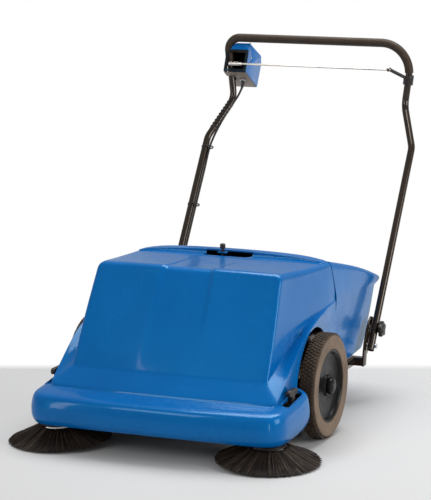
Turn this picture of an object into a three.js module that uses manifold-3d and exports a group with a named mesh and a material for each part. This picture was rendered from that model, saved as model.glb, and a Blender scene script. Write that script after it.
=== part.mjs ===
// Walk-behind battery sweeper, in millimetres. +X is the right-hand side as seen from the front, +Y points rearwards, +Z up.
// Inside the machine group the wheel axle is at y = 0 and the floor at z = 0; SHIFT_Y moves the group so that the origin is the bottom centre of the whole machine.
import * as THREE from "three";
import { mergeVertices } from "three/addons/utils/BufferGeometryUtils.js";
import { ConvexGeometry } from "three/addons/geometries/ConvexGeometry.js";
import Module from "manifold-3d";

// ---------- driving dimensions ----------
const SHIFT_Y = -275.85;
const GAP = 0.35; // between touching pieces

const WHEEL = { r: 150, x0: 332, x1: 380, y: 0, z: 150, disc: 104 };
const ARCH = { r: 165, y: -12, z: 150 }; // wheel arch in the hood
const HOOD = { rear: 205, wall: 4 };
const HINGE = { x: 194, y: -419, z: 86 }; // hood tilts forward about these two bolts
const BRUSH = { y: 62, z: 126.5, r: 125.5, core: 45, half: 264 };
const DECK_Z = 283; // top of the chassis side plates and cross members
const PULLEY = { x0: 279, x1: 293, brushR: 55, motorR: 27.5 };
const MOTOR = { y: -130, z: 205, r: 46, x0: 96, x1: 268 };
const SIDE = { x: 313, y: -324, r: 149.5, tilt: 2.4, pivotY: -190, pivotZ: 112 };
const LEVER = { x0: 349.5, x1: 360.5, y: -254, z: 116 };
const HOPPER = { front: 209, wall: 4 };
const TUBE = { r: 11, x: 343 }; // push handle
const TAIL = [451.5, 155.5]; // y, z of the foot of each post
const TILT = { y: 460, z: 168 }; // handle pivot
const CLAMP = { y: 491, z: 214 }; // star knob
const BRACKET = { x0: 326.3, x1: 331.4 };
const CROSS = { y: 434, z: 123.5, s: 12.5 }; // rear cross tube, half section
const BAR_Z = 1032.7;
const GRIP_R = 13.5;
const BAIL = { y: 880, z: 954, x0: -292, x1: 243 };
const CASTER = { y: 378, r: 40, trail: 27 };

// ---------- solid helpers ----------
const wasm = await Module();
wasm.setup();
const v3 = (x, y, z) => new THREE.Vector3(x, y, z);

function solid(geometry) {
  const g = geometry.index ? geometry.toNonIndexed() : geometry.clone();
  const bare = new THREE.BufferGeometry().setAttribute("position", g.getAttribute("position"));
  const m = mergeVertices(bare, 1e-4);
  return new wasm.Manifold(
    new wasm.Mesh({ numProp: 3, vertProperties: m.attributes.position.array, triVerts: new Uint32Array(m.index.array) }),
  );
}
function geometryOf(manifold) {
  const mesh = manifold.getMesh();
  const g = new THREE.BufferGeometry();
  g.setAttribute("position", new THREE.BufferAttribute(new Float32Array(mesh.vertProperties), 3));
  g.setIndex(new THREE.BufferAttribute(new Uint32Array(mesh.triVerts), 1));
  const flat = g.toNonIndexed();
  flat.computeVertexNormals();
  return flat;
}
const join = (...parts) => parts.reduce((a, b) => a.add(b));
const cut = (a, ...tools) => tools.reduce((s, t) => s.subtract(t), a);
const placed = (g, m) => solid(g.clone().applyMatrix4(m));

// A box from its lowest to its highest corner.
function box(x0, x1, y0, y1, z0, z1) {
  const g = new THREE.BoxGeometry(x1 - x0, y1 - y0, z1 - z0);
  g.translate((x0 + x1) / 2, (y0 + y1) / 2, (z0 + z1) / 2);
  return solid(g);
}
// A turned solid: profile of [radius, position along the axis], from a point on `at` along `dir`.
function turned(profile, at, dir, seg = 24, spin = 0) {
  const pts = profile.map(([r, h]) => new THREE.Vector2(r, h));
  if (profile[0][0] > 1e-6) pts.push(pts[0].clone());
  let g = new THREE.LatheGeometry(pts, seg);
  g.rotateY(spin);
  let s;
  const q = new THREE.Quaternion().setFromUnitVectors(v3(0, 1, 0), dir.clone().normalize());
  g.applyQuaternion(q);
  g.translate(at.x, at.y, at.z);
  s = solid(g);
  if (s.volume() < 0) {
    pts.reverse();
    g = new THREE.LatheGeometry(pts, seg);
    g.rotateY(spin);
    g.applyQuaternion(q);
    g.translate(at.x, at.y, at.z);
    s = solid(g);
  }
  return s;
}
// A round bar along X, Y or Z.
function rod(axis, r, a0, a1, p, q, seg = 24) {
  const g = new THREE.CylinderGeometry(r, r, a1 - a0, seg);
  const mid = (a0 + a1) / 2;
  if (axis === "x") { g.rotateZ(Math.PI / 2); g.translate(mid, p, q); }
  if (axis === "y") g.translate(p, mid, q);
  if (axis === "z") { g.rotateX(Math.PI / 2); g.translate(p, q, mid); }
  return solid(g);
}
// A bar along any direction from a to b.
function bar(a, b, r, seg = 16) {
  const d = b.clone().sub(a);
  const g = new THREE.CylinderGeometry(r, r, d.length(), seg);
  g.applyQuaternion(new THREE.Quaternion().setFromUnitVectors(v3(0, 1, 0), d.clone().normalize()));
  const m = a.clone().add(b).multiplyScalar(0.5);
  g.translate(m.x, m.y, m.z);
  return solid(g);
}
// An outline in Y, Z extruded along X.
function plateX(points, x0, x1, holes = []) {
  const turn = (pts, clockwise) => {
    const v = pts.map(([y, z]) => new THREE.Vector2(y, z));
    return THREE.ShapeUtils.isClockWise(v) === clockwise ? v : v.reverse();
  };
  const s = new THREE.Shape(turn(points, false));
  for (const h of holes) s.holes.push(new THREE.Path(turn(h, true)));
  const g = new THREE.ExtrudeGeometry(s, { depth: x1 - x0, bevelEnabled: false, curveSegments: 12 });
  // shape x -> Y, shape y -> Z, depth -> X
  g.applyMatrix4(new THREE.Matrix4().makeBasis(v3(0, 1, 0), v3(0, 0, 1), v3(1, 0, 0)));
  g.translate(x0, 0, 0);
  return solid(g);
}
const hull = (points) => solid(new ConvexGeometry(points.map(([x, y, z]) => v3(x, y, z))));
function arc(cy, cz, r, a0, a1, n) {
  return Array.from({ length: n + 1 }, (_, i) => {
    const a = THREE.MathUtils.degToRad(a0 + ((a1 - a0) * i) / n);
    return [cy + r * Math.cos(a), cz + r * Math.sin(a)];
  });
}
// A path through points with each inner corner rounded to a radius.
function rounded(points, radii, step = 0.5) {
  const out = [points[0].clone()];
  for (let i = 1; i < points.length - 1; i++) {
    const p = points[i], a = points[i - 1].clone().sub(p).normalize(), b = points[i + 1].clone().sub(p).normalize();
    const turn = Math.PI - a.angleTo(b), r = radii[i - 1];
    const set = r * Math.tan(turn / 2);
    const p0 = p.clone().addScaledVector(a, set);
    const n = Math.max(2, Math.ceil(turn / step));
    const centre = p.clone().addScaledVector(a.clone().add(b).normalize(), r / Math.cos(turn / 2));
    const axis = a.clone().negate().cross(b).normalize();
    const arm = p0.clone().sub(centre);
    for (let k = 0; k <= n; k++) out.push(centre.clone().add(arm.clone().applyAxisAngle(axis, (turn * k) / n)));
  }
  out.push(points[points.length - 1].clone());
  return out;
}
// The given points as a curve, one step per point.
class Route extends THREE.Curve {
  constructor(points) { super(); this.points = points; }
  getPoint(t) {
    const f = Math.min(Math.max(t, 0), 1) * (this.points.length - 1), i = Math.min(Math.floor(f), this.points.length - 2);
    return this.points[i].clone().lerp(this.points[i + 1], f - i);
  }
  getPointAt(u) { return this.getPoint(u); }
  getTangentAt(u) {
    const n = this.points.length - 1, i = Math.round(u * n);
    const a = this.points[Math.max(i - 1, 0)], b = this.points[Math.min(i + 1, n)], p = this.points[i];
    const t = v3(0, 0, 0);
    if (i > 0) t.add(p.clone().sub(a).normalize());
    if (i < n) t.add(b.clone().sub(p).normalize());
    return t.normalize();
  }
  getTangent(u) { return this.getTangentAt(u); }
  getSpacedPoints(n) { return Array.from({ length: n + 1 }, (_, i) => this.getPoint(i / n)); }
}
function tube(points, r, sides = 12) {
  const s = new THREE.Shape(Array.from({ length: sides }, (_, i) => {
    const a = (2 * Math.PI * (i + 0.5)) / sides;
    return new THREE.Vector2(r * Math.cos(a), r * Math.sin(a));
  }));
  return solid(new THREE.ExtrudeGeometry(s, { steps: points.length - 1, bevelEnabled: false, extrudePath: new Route(points) }));
}

// ---------- materials ----------
const mat = (color, roughness, metalness) => new THREE.MeshStandardMaterial({ color, roughness, metalness });
const BLUE = mat(0x0a64b4, 0.25, 0.0);
const BLACK = mat(0x17150f, 0.5, 0.0);
const PAINT = mat(0x1d1a17, 0.3, 0.3);
const STEEL = mat(0x9a9c9e, 0.35, 0.9);
const CHROME = mat(0xd8d8d8, 0.12, 1.0);
const RUBBER = mat(0x5b4c3f, 0.8, 0.0);
const BRISTLE = mat(0x241a12, 0.7, 0.0);
const SLEEVE = mat(0x33291f, 0.65, 0.0);
const TAUPE = mat(0x6d5f52, 0.5, 0.0);
const GREY = mat(0x777b80, 0.5, 0.2);
const RED = mat(0xb02020, 0.4, 0.0);

const machine = new THREE.Group();
function add(name, manifold, material, parent = machine) {
  const mesh = new THREE.Mesh(geometryOf(manifold), material);
  mesh.name = name;
  parent.add(mesh);
  return mesh;
}
const both = (make) => { make(1, "right"); make(-1, "left"); };
// Mirror of a right-hand solid for the left-hand side.
const mirrored = (s, sx) => (sx > 0 ? s : s.scale([-1, 1, 1]));

// An outline in X, Y extruded along Z.
function plateZ(points, z0, z1) {
  const g = new THREE.ExtrudeGeometry(new THREE.Shape(points.map(([x, y]) => new THREE.Vector2(x, y))), { depth: z1 - z0, bevelEnabled: false });
  g.translate(0, 0, z0);
  return solid(g);
}
// A slot with round ends along Y.
function slotZ(x, y, r, half, z0, z1) {
  const pts = [];
  for (let i = 0; i <= 5; i++) pts.push([x + r * Math.cos((Math.PI * i) / 5), y + half - r + r * Math.sin((Math.PI * i) / 5)]);
  for (let i = 0; i <= 5; i++) pts.push([x - r * Math.cos((Math.PI * i) / 5), y - half + r - r * Math.sin((Math.PI * i) / 5)]);
  return plateZ(pts, z0, z1);
}

// ---------- lofted shells ----------
// A row is a right-hand level line: side points from the open end to the corner, the corner, the middle, and the corner's radius.
// Returns the row's points from the open end on the right, round the closed end, to the open end on the left.
function rowPoints(row, sideT, cornerN, frontX) {
  const side = [...row.side, row.corner].map((p) => v3(...p));
  const at = [0];
  for (let i = 1; i < side.length; i++) at.push(at[i - 1] + side[i].distanceTo(side[i - 1]));
  const total = at[at.length - 1];
  const onSide = (d) => {
    let i = 1;
    while (i < at.length - 1 && at[i] < d) i++;
    return side[i - 1].clone().lerp(side[i], (d - at[i - 1]) / (at[i] - at[i - 1]));
  };
  const c = side[side.length - 1], m = v3(...row.middle);
  // the closed end bows: a parabola from the corner to the middle
  const onFront = (x) => {
    const u = x / c.x;
    return v3(x, m.y + (c.y - m.y) * u * u, m.z + (c.z - m.z) * u * u);
  };
  const right = [];
  const start = onSide(total - row.r), end = onFront(c.x - row.r);
  for (const t of sideT) right.push(onSide(t * (total - row.r)));
  for (let k = 1; k <= cornerN; k++) {
    const t = k / (cornerN + 1);
    right.push(start.clone().multiplyScalar((1 - t) * (1 - t)).addScaledVector(c, 2 * t * (1 - t)).addScaledVector(end, t * t));
  }
  for (const x of frontX) right.push(onFront(x >= 1 ? c.x - row.r : x * (c.x - row.r)));
  const left = right.slice(0, -1).reverse().map((p) => v3(-p.x, p.y, p.z));
  return [...right, ...left];
}
// Puts a smooth row between two others.
const between = (a, b, t, out = 0) => a.map((p, i) => {
  const q = p.clone().lerp(b[i], t);
  q.x *= 1 + out / 300;
  return q;
});
// A closed solid from rows (each an open line round three sides) and a lid grid over the last row.
function loft(rows, lid) {
  const tri = [];
  const quad = (a, b, c, d) => { tri.push(a, b, c, a, c, d); };
  const last = rows[rows.length - 1], n = last.length;
  for (let k = 0; k < rows.length - 1; k++)
    for (let j = 0; j < n - 1; j++) quad(rows[k][j], rows[k][j + 1], rows[k + 1][j + 1], rows[k + 1][j]);
  // lid: rungs between the right and the left side, then the closed end
  const grid = lid(last);
  for (let i = 0; i < grid.length - 1; i++)
    for (let j = 0; j < grid[i].length - 1; j++) quad(grid[i][j], grid[i + 1][j], grid[i + 1][j + 1], grid[i][j + 1]);
  // the open end and the bottom, closed flat
  const bottom = rows[0];
  const open = [...rows.map((r) => r[0])];
  const openL = [...rows.map((r) => r[n - 1])];
  const lidOpen = grid[0]; // from right to left
  const mid = v3(0, 0, 0);
  const ring = [...open, ...lidOpen.slice(1, -1), ...openL.slice().reverse()];
  ring.forEach((p) => mid.add(p));
  mid.multiplyScalar(1 / ring.length);
  for (let i = 0; i < ring.length; i++) tri.push(mid, ring[i], ring[(i + 1) % ring.length]);
  const bm = v3(0, 0, 0);
  bottom.forEach((p) => bm.add(p));
  bm.multiplyScalar(1 / bottom.length);
  for (let i = 0; i < bottom.length; i++) tri.push(bm, bottom[(i + 1) % bottom.length], bottom[i]);
  const g = new THREE.BufferGeometry().setFromPoints(tri);
  let s = solid(g);
  if (s.volume() < 0) {
    for (let i = 0; i < tri.length; i += 3) [tri[i + 1], tri[i + 2]] = [tri[i + 2], tri[i + 1]];
    s = solid(new THREE.BufferGeometry().setFromPoints(tri));
  }
  return s;
}
// The same rows moved in by the wall, with the open end and the bottom run past the outside.
function inset(rows, wall, openDy) {
  return rows.map((row, k) => row.map((p, j) => {
    const a = rows[Math.max(k - 1, 0)][j], b = rows[Math.min(k + 1, rows.length - 1)][j];
    const c = row[Math.max(j - 1, 0)], d = row[Math.min(j + 1, row.length - 1)];
    // outwards is up x along the row, which runs the other way round when the open end is in front
    const nrm = b.clone().sub(a).cross(d.clone().sub(c)).normalize().multiplyScalar(Math.sign(openDy));
    return p.clone().addScaledVector(nrm, -wall);
  })).map((row) => row.map((p, j) => (j === 0 || j === row.length - 1 ? v3(p.x, p.y + openDy, p.z) : p)));
}

// ---------- hood ----------
// Level lines of the hood from its lower edge to the edge of its top.
const H = [
  { side: [[316, 205, 165], [322, 60, 165], [340, -80, 125], [370, -140, 78], [372, -250, 69]], corner: [370, -402, 65], middle: [0, -434, 73], r: 62 },
  { side: [[318, 205, 170], [324, 60, 170], [345, -80, 135], [379, -142, 92], [380, -250, 83]], corner: [379, -412, 79], middle: [0, -445, 86], r: 62 },
  { side: [[319, 205, 175], [325, 60, 175], [347, -80, 142], [381, -142, 122], [382, -250, 114]], corner: [381, -412, 112], middle: [0, -445, 116], r: 62 },
  { side: [[319, 205, 180], [326, 60, 180], [346, -80, 165], [377, -142, 162], [377, -250, 152]], corner: [376, -406, 143], middle: [0, -440, 147], r: 58 },
  { side: [[319, 205, 184], [327, 60, 184], [343, -80, 182], [366, -142, 176], [366, -250, 163]], corner: [365, -394, 153], middle: [0, -428, 156], r: 50 },
  { side: [[319, 205, 188], [327, 60, 188], [338, -80, 188], [340, -140, 185], [339.5, -240, 172]], corner: [338, -336, 161], middle: [0, -352, 162], r: 18 },
  { side: [[317.5, 205, 350.5], [319, 154, 346.5], [328, 33, 335], [333, -31, 322], [337, -81, 311], [340, -138, 298], [340, -195, 262], [340, -285, 198]], corner: [337.5, -333, 167], middle: [0, -349, 168], r: 16 },
  { side: [[316, 205, 354], [316, 142, 349.5], [310, 49, 339], [306, -14, 322], [300, -137, 277], [296, -231, 234]], corner: [293.5, -284, 212], middle: [0, -297, 214], r: 12 },
  { side: [[302, 205, 452], [297, 100, 455], [290, 0, 459], [283, -80, 464]], corner: [280, -146, 468], middle: [0, -151, 470], r: 12 },
  { side: [[300, 205, 458], [294.5, 100, 462.5], [287, 0, 468], [279.5, -80, 475]], corner: [276, -140, 480], middle: [0, -145, 483], r: 13 },
  { side: [[293, 205, 461.5], [287.5, 100, 466.5], [280, 0, 473], [271, -80, 480]], corner: [266, -128, 485], middle: [0, -132, 489.5], r: 14 },
];
const SIDE_T = [0, 0.06, 0.1, 0.3, 0.52, 0.76, 1];
const FRONT_X = [1, 0.65, 0.3, 0.265, 0.13, 0];
function hoodRows() {
  const base = H.map((r) => rowPoints(r, SIDE_T, 2, FRONT_X));
  const rows = [...base.slice(0, 8), between(base[7], base[8], 0.3, 2.5), between(base[7], base[8], 0.62, 2.5), ...base.slice(8)];
  // the middle of the front is sunk by 6 mm at the top, fading out half-way down
  const n = rows[0].length, c = (n - 1) / 2;
  const depth = (k) => [0, 0, 0, 0, 0, 0, 0, 0, 0, 3, 6, 6, 6][k] || 0;
  rows.forEach((row, k) => row.forEach((p, j) => {
    const off = Math.abs(j - c);
    if (off <= 2) { p.y += depth(k) * 0.9; if (k >= 11) p.z -= depth(k) * 0.7; }
  }));
  return rows;
}
// A lid over the last row: one rung across at each side point, then the closed end itself.
function lidOver(last, sideT, crown, tweak = () => 0) {
  const nSide = sideT.length - 1, n = last.length;
  const front = last.slice(nSide, n - nSide), m = front.length - 1;
  const grid = [];
  for (let i = 0; i < nSide; i++) {
    const R = last[i], L = last[n - 1 - i], t = sideT[i];
    grid.push(front.map((p, j) => {
      if (j === 0) return R;
      if (j === m) return L;
      const u = (p.x - front[m].x) / (front[0].x - front[m].x), w = (2 * u - 1) ** 2;
      const x = L.x + (R.x - L.x) * u, y = R.y + (p.y - front[0].y) * t;
      return v3(x, y, R.z + crown(t) * (1 - w) + tweak(x, y, t));
    }));
  }
  grid.push(front);
  return grid;
}
const hoodLid = (last) => lidOver(last, SIDE_T, (t) => 8.5 - 4 * t, (x, y, t) => {
  if (t < 0.07) return (t < 0.01 ? 14 : 12.5) * (1 - Math.min(1, Math.abs(x) / 300) ** 8); // raised rib along the rear edge, falling off at its ends
  const w = Math.min(1, (x / 290) ** 2);
  return (8.5 - 4 * t) * (w - w ** 3) - (Math.abs(x) < 75 ? 4.2 * Math.max(0, (t - 0.4) / 0.6) : 0); // fuller sides, sunk middle
});
function shell(rows, lid, wall, openDy, bottomDz) {
  const outer = loft(rows, lid);
  const inner = inset(rows, wall, openDy);
  if (bottomDz < 0) inner.unshift(inner[0].map((p) => v3(p.x, p.y, p.z + bottomDz)));
  else inner[0] = inner[0].map((p) => v3(p.x, p.y, p.z + bottomDz));
  return { outer, inner: loft(inner, lid) };
}
const hood = (() => {
  const rows = hoodRows();
  const { outer, inner } = shell(rows, hoodLid, HOOD.wall, 30, -40);
  let s = outer.subtract(inner);
  const arch = (sx) => rod("x", ARCH.r, sx > 0 ? 305 : -420, sx > 0 ? 420 : -305, ARCH.y, ARCH.z, 32);
  s = cut(s, arch(1), arch(-1));
  // nothing of the skirt stays behind the wheels, and the rear edge is open to the hopper
  for (const sx of [1, -1]) s = s.subtract(box(Math.min(sx * 305, sx * 420), Math.max(sx * 305, sx * 420), 0, 240, 100, 166));
  // finger notch in front of the rear rib
  s = s.subtract(plateZ([[-73, 176], [73, 176], [73, 152], [60, 136], [-73, 136]], 440, 520));
  // tongue that carries the latch
  s = s.add(box(-36, -8, 163.5, 180, 474, 478)).subtract(rod("z", 4, 440, 482, -22, 172, 18));
  // the levers' slots in the ledges
  for (const sx of [1, -1]) s = s.subtract(slotZ(sx * 355, -255, 9.5, 61, 130, 220));
  // ears for the hinge bolts
  for (const sx of [1, -1]) {
    const x = sx * HINGE.x;
    for (const e of [x - 19, x + 19]) s = s.add(box(e - 3, e + 3, -440, HINGE.y + 10, 74, 98).intersect(outer));
    s = s.subtract(rod("x", 5.3, x - 30, x + 30, HINGE.y, HINGE.z, 10));
  }
  return s;
})();
add("hood_shell", hood, BLUE);

// Latch: a head on an oval shank, carried by a tongue of the hood in the notch; a quarter turn wedges the shank in the bracket's fork.
const LATCH = { x: -22, y: 172 };
add("hood_latch_knob", join(
  rod("z", 8.25, 487, 502, LATCH.x, LATCH.y, 20),
  rod("z", 3.4, 470, 488, LATCH.x, LATCH.y, 16),
  box(LATCH.x - 2.5, LATCH.x + 2.5, LATCH.y - 3.8, LATCH.y + 3.8, 452, 471),
), BLACK);

// ---------- hopper ----------
const HP = [
  { side: [[296, HOPPER.front, 141], [297, 388, 141]], corner: [299, 512, 151], middle: [0, 518, 151], r: 22 },
  { side: [[301, HOPPER.front, 158], [302, 400, 158]], corner: [303, 524, 166], middle: [0, 530, 166], r: 24 },
  { side: [[314, HOPPER.front, 262], [312, 410, 255]], corner: [310, 562, 255], middle: [0, 568, 255], r: 26 },
  { side: [[319.5, HOPPER.front, 358], [318, 400, 344]], corner: [314, 590, 332], middle: [0, 596, 332], r: 28 },
  { side: [[316, HOPPER.front, 384], [319, 400, 366]], corner: [320, 619, 338.5], middle: [0, 626, 338.5], r: 30 },
  { side: [[302, HOPPER.front, 456], [315, 400, 410]], corner: [321, 621, 346], middle: [0, 628, 346], r: 30 },
  { side: [[293, HOPPER.front, 464], [307, 400, 418]], corner: [315, 615, 353], middle: [0, 621, 353], r: 26 },
];
const HOP_T = [0, 0.35, 0.7, 1];
const HOP_X = [1, 0.5, 0];
{
  const rows = HP.map((r) => rowPoints(r, HOP_T, 2, HOP_X));
  const lid = (last) => lidOver(last, HOP_T, (t) => 13 - 9 * t);
  const { outer, inner } = shell(rows, lid, HOPPER.wall, -40, 3.5);
  add("hopper_tub", outer.subtract(inner), BLUE);
  const grip = join(
    bar(v3(-80, 616, 298), v3(80, 616, 298), 8.5, 12),
    bar(v3(-72, 616, 298), v3(-72, 578, 298), 8, 12),
    bar(v3(72, 616, 298), v3(72, 578, 298), 8, 12),
  );
  add("hopper_grip", cut(grip, outer, outer.translate([0, 0.4, 0])), BLACK);
}

// ---------- chassis ----------
const PLATE_X = [300, 305];
{
  let s = box(-PLATE_X[0] - 1, PLATE_X[0] + 1, -172, -148, 96, 122); // front cross tube
  for (const sx of [1, -1]) {
    const X = (a, b) => (sx > 0 ? [a, b] : [-b, -a]);
    // side plate with a lightening hole
    s = s.add(plateX([[-262, 96], [206, 96], [206, DECK_Z], [-62, DECK_Z], [-215, 150], [-262, 130]], ...X(...PLATE_X), [arc(-110, 150, 22, 360, 22, 14)]));
    // rail under the hopper
    s = s.add(box(...X(270, 301), 203, CROSS.y - CROSS.s - GAP, 111, 140.6));
    // arm to the hood hinge
    s = s.add(box(...X(HINGE.x - 12, HINGE.x + 12), -400, -170, 94, 118)).add(plateX([[HINGE.y - 8.5, 104], [HINGE.y - 8.5, 85], [HINGE.y - 3, 77.5], [-395, 77.5], [-395, 104]], ...X(HINGE.x - 12, HINGE.x + 12)));
    s = s.subtract(rod("x", 5.3, ...X(HINGE.x - 30, HINGE.x + 30), HINGE.y, HINGE.z, 16));
    // lug and pin of the side brush's lever
    s = s.add(box(...X(304, LEVER.x0 - 0.6), LEVER.y - 8, LEVER.y + 9, 106, 126));
    s = s.add(rod("x", 5, ...X(LEVER.x0 - 3, LEVER.x1 + 3), LEVER.y, LEVER.z, 16));
    // boss the side brush's arm swings on
    s = s.add(rod("x", 7, ...X(274, 301), SIDE.pivotY, SIDE.pivotZ, 18));
    // openings for the stub axle and the roller's bearing
    s = s.subtract(rod("x", 12.4, ...X(290, 310), WHEEL.y, WHEEL.z, 20));
    s = s.subtract(rod("x", 22.4, ...X(290, 310), BRUSH.y, BRUSH.z, 24));
  }
  s = s.add(box(-301, 301, 150, 190, 268, DECK_Z)); // rear upper cross member
  s = s.add(box(-301, 301, -60, -36, 263, DECK_Z)); // front upper cross member
  s = s.add(box(-271, 271, 346, 412, 111, 116)); // plate over the caster
  add("chassis_frame", s, PAINT);
}
add("rear_cross_tube", box(-BRACKET.x0 + GAP, BRACKET.x0 - GAP, CROSS.y - CROSS.s, CROSS.y + CROSS.s, CROSS.z - CROSS.s, CROSS.z + CROSS.s)
  .subtract(box(-400, 400, CROSS.y - CROSS.s + 2.5, CROSS.y + CROSS.s - 2.5, CROSS.z - CROSS.s + 2.5, CROSS.z + CROSS.s - 2.5)), PAINT);

const SWING = 12; // handle tilt each way, degrees
both((sx, side) => {
  const R = Math.hypot(CLAMP.y - TILT.y, CLAMP.z - TILT.z), a0 = THREE.MathUtils.radToDeg(Math.atan2(CLAMP.z - TILT.z, CLAMP.y - TILT.y));
  const slot = [...arc(TILT.y, TILT.z, R + 4.7, a0 - SWING, a0 + SWING, 6), ...arc(TILT.y, TILT.z, R - 4.7, a0 + SWING, a0 - SWING, 6)];
  let s = plateX([[421, 110], [447, 110], [452, 140], [482, 160], [512, 196], [520, 222], [511, 244], [494, 250], [474, 240], [452, 214], [434, 180], [424, 140]], BRACKET.x0, BRACKET.x1);
  s = s.subtract(plateX(slot, BRACKET.x0 - 3, BRACKET.x1 + 3));
  for (const d of [-SWING, SWING]) {
    const a = THREE.MathUtils.degToRad(a0 + d);
    s = s.subtract(rod("x", 4.7, BRACKET.x0 - 3, BRACKET.x1 + 3, TILT.y + R * Math.cos(a), TILT.z + R * Math.sin(a), 16));
  }
  s = s.subtract(rod("x", 5.3, BRACKET.x0 - 3, BRACKET.x1 + 3, TILT.y, TILT.z, 16));
  add("handle_bracket_" + side, mirrored(s, sx), PAINT);
  // pivot bolt: head outside the post, nut inside the bracket
  const out = TUBE.x + TUBE.r;
  const b = rod("x", 4.9, BRACKET.x0 - 8, out + 6, TILT.y, TILT.z, 16)
    .add(rod("x", 8, out + 0.5, out + 6, TILT.y, TILT.z, 6))
    .add(rod("x", 8, BRACKET.x0 - 7, BRACKET.x0 - GAP, TILT.y, TILT.z, 6));
  add("handle_pivot_bolt_" + side, mirrored(b, sx), STEEL);
  // stub axle with its collar and nut
  const ax = rod("x", 12, 294, 307, WHEEL.y, WHEEL.z, 20).add(rod("x", 18, 305 + GAP, 328, WHEEL.y, WHEEL.z, 20)).add(rod("x", 10, 306, 384, WHEEL.y, WHEEL.z, 20)).add(rod("x", 17, 294, 300 - GAP, WHEEL.y, WHEEL.z, 6));
  add("wheel_axle_" + side, mirrored(ax, sx), STEEL);
  // hinge bolt through the chassis arm and the hood's ears
  const hx = HINGE.x;
  const hb = rod("x", 4.9, hx - 27, hx + 27, HINGE.y, HINGE.z, 16).add(rod("x", 7.5, hx + 22.5, hx + 28, HINGE.y, HINGE.z, 6)).add(rod("x", 7.5, hx - 28, hx - 22.5, HINGE.y, HINGE.z, 6));
  add("hood_hinge_bolt_" + side, mirrored(hb, sx), STEEL);
});

// ---------- roller brush ----------
const GUARD_R = BRUSH.r + 12;
// A sheet of even thickness along an open outline.
const sheet = (pts, t) => {
  const out = pts.map(([y, z], i) => {
    const a = pts[Math.max(i - 1, 0)], b = pts[Math.min(i + 1, pts.length - 1)];
    const dy = b[0] - a[0], dz = b[1] - a[1], l = Math.hypot(dy, dz);
    return [y - (dz / l) * t, z + (dy / l) * t];
  });
  return [...pts, ...out.reverse()];
};
{
  // guard over the roller, with an end wall on the belt's side
  const top = [...arc(BRUSH.y, BRUSH.z, GUARD_R, 196, 90, 9), [200, BRUSH.z + GUARD_R]];
  const wall = plateX([...arc(BRUSH.y, BRUSH.z, GUARD_R + 1, 196, 90, 9), [200, BRUSH.z + GUARD_R + 1], [200, 152], [BRUSH.y + 20, 88]], 270.5, 273, [arc(BRUSH.y, BRUSH.z, 13, 360, 22.5, 15)]);
  add("brush_housing", plateX(sheet(top, 2.5), -299.6, 273).add(wall), GREY);
  // ramp behind it, up which the roller throws the dirt
  add("dirt_ramp", plateX(sheet(arc(BRUSH.y, BRUSH.z, GUARD_R, -58, 2, 7), -2.5), -299.6, 299.6), GREY);
  add("front_dirt_flap", plateX([[-82.1, 112], [-79.1, 112], [-79.1, 60], [-81, 4], [-84, 4], [-82.1, 60]], -290, 290), RUBBER);
  const X = v3(1, 0, 0), at = v3(0, BRUSH.y, BRUSH.z);
  add("main_brush_core", join(rod("x", BRUSH.core, -BRUSH.half - 2, BRUSH.half + 2, BRUSH.y, BRUSH.z, 20), rod("x", 11, -309, 309, BRUSH.y, BRUSH.z, 20)), STEEL);
  add("main_brush_bristles", rod("x", BRUSH.r, -BRUSH.half, BRUSH.half, BRUSH.y, BRUSH.z, 32).subtract(rod("x", BRUSH.core + 0.9, -BRUSH.half - 5, BRUSH.half + 5, BRUSH.y, BRUSH.z, 20)), BRISTLE);
  add("main_brush_pulley", turned([[11.4, PULLEY.x0 - 2], [20, PULLEY.x0 - 2], [20, PULLEY.x0], [57.5, PULLEY.x0], [57.5, PULLEY.x0 + 1], [PULLEY.brushR, PULLEY.x0 + 1], [PULLEY.brushR, PULLEY.x1 - 1], [57.5, PULLEY.x1 - 1], [57.5, PULLEY.x1], [11.4, PULLEY.x1]], at, X, 20), GREY);
  add("motor_pulley", turned([[7.4, PULLEY.x0 - 4], [14, PULLEY.x0 - 4], [14, PULLEY.x0], [30, PULLEY.x0], [30, PULLEY.x0 + 1], [PULLEY.motorR, PULLEY.x0 + 1], [PULLEY.motorR, PULLEY.x1 - 1], [30, PULLEY.x1 - 1], [30, PULLEY.x1], [7.4, PULLEY.x1]], v3(0, MOTOR.y, MOTOR.z), X, 16), GREY);
  const loop = (d, x0, x1) => {
    const pts = [];
    for (const x of [x0, x1]) {
      for (const [y, z] of arc(BRUSH.y, BRUSH.z, PULLEY.brushR + d, 0, 351, 39)) pts.push([x, y, z]);
      for (const [y, z] of arc(MOTOR.y, MOTOR.z, PULLEY.motorR + d, 0, 345, 23)) pts.push([x, y, z]);
    }
    return hull(pts);
  };
  add("drive_belt", loop(4.4, PULLEY.x0 + 1.5, PULLEY.x1 - 1.5).subtract(loop(0.7, PULLEY.x0 - 3, PULLEY.x1 + 3)), RUBBER);
}
both((sx, side) => {
  add("main_brush_bearing_" + side, mirrored(turned([[11.4, 298.6], [21.6, 298.6], [21.6, 305.4], [26, 305.4], [26, 309], [11.4, 309]], v3(0, BRUSH.y, BRUSH.z), v3(1, 0, 0), 14), sx), STEEL);
});

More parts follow.
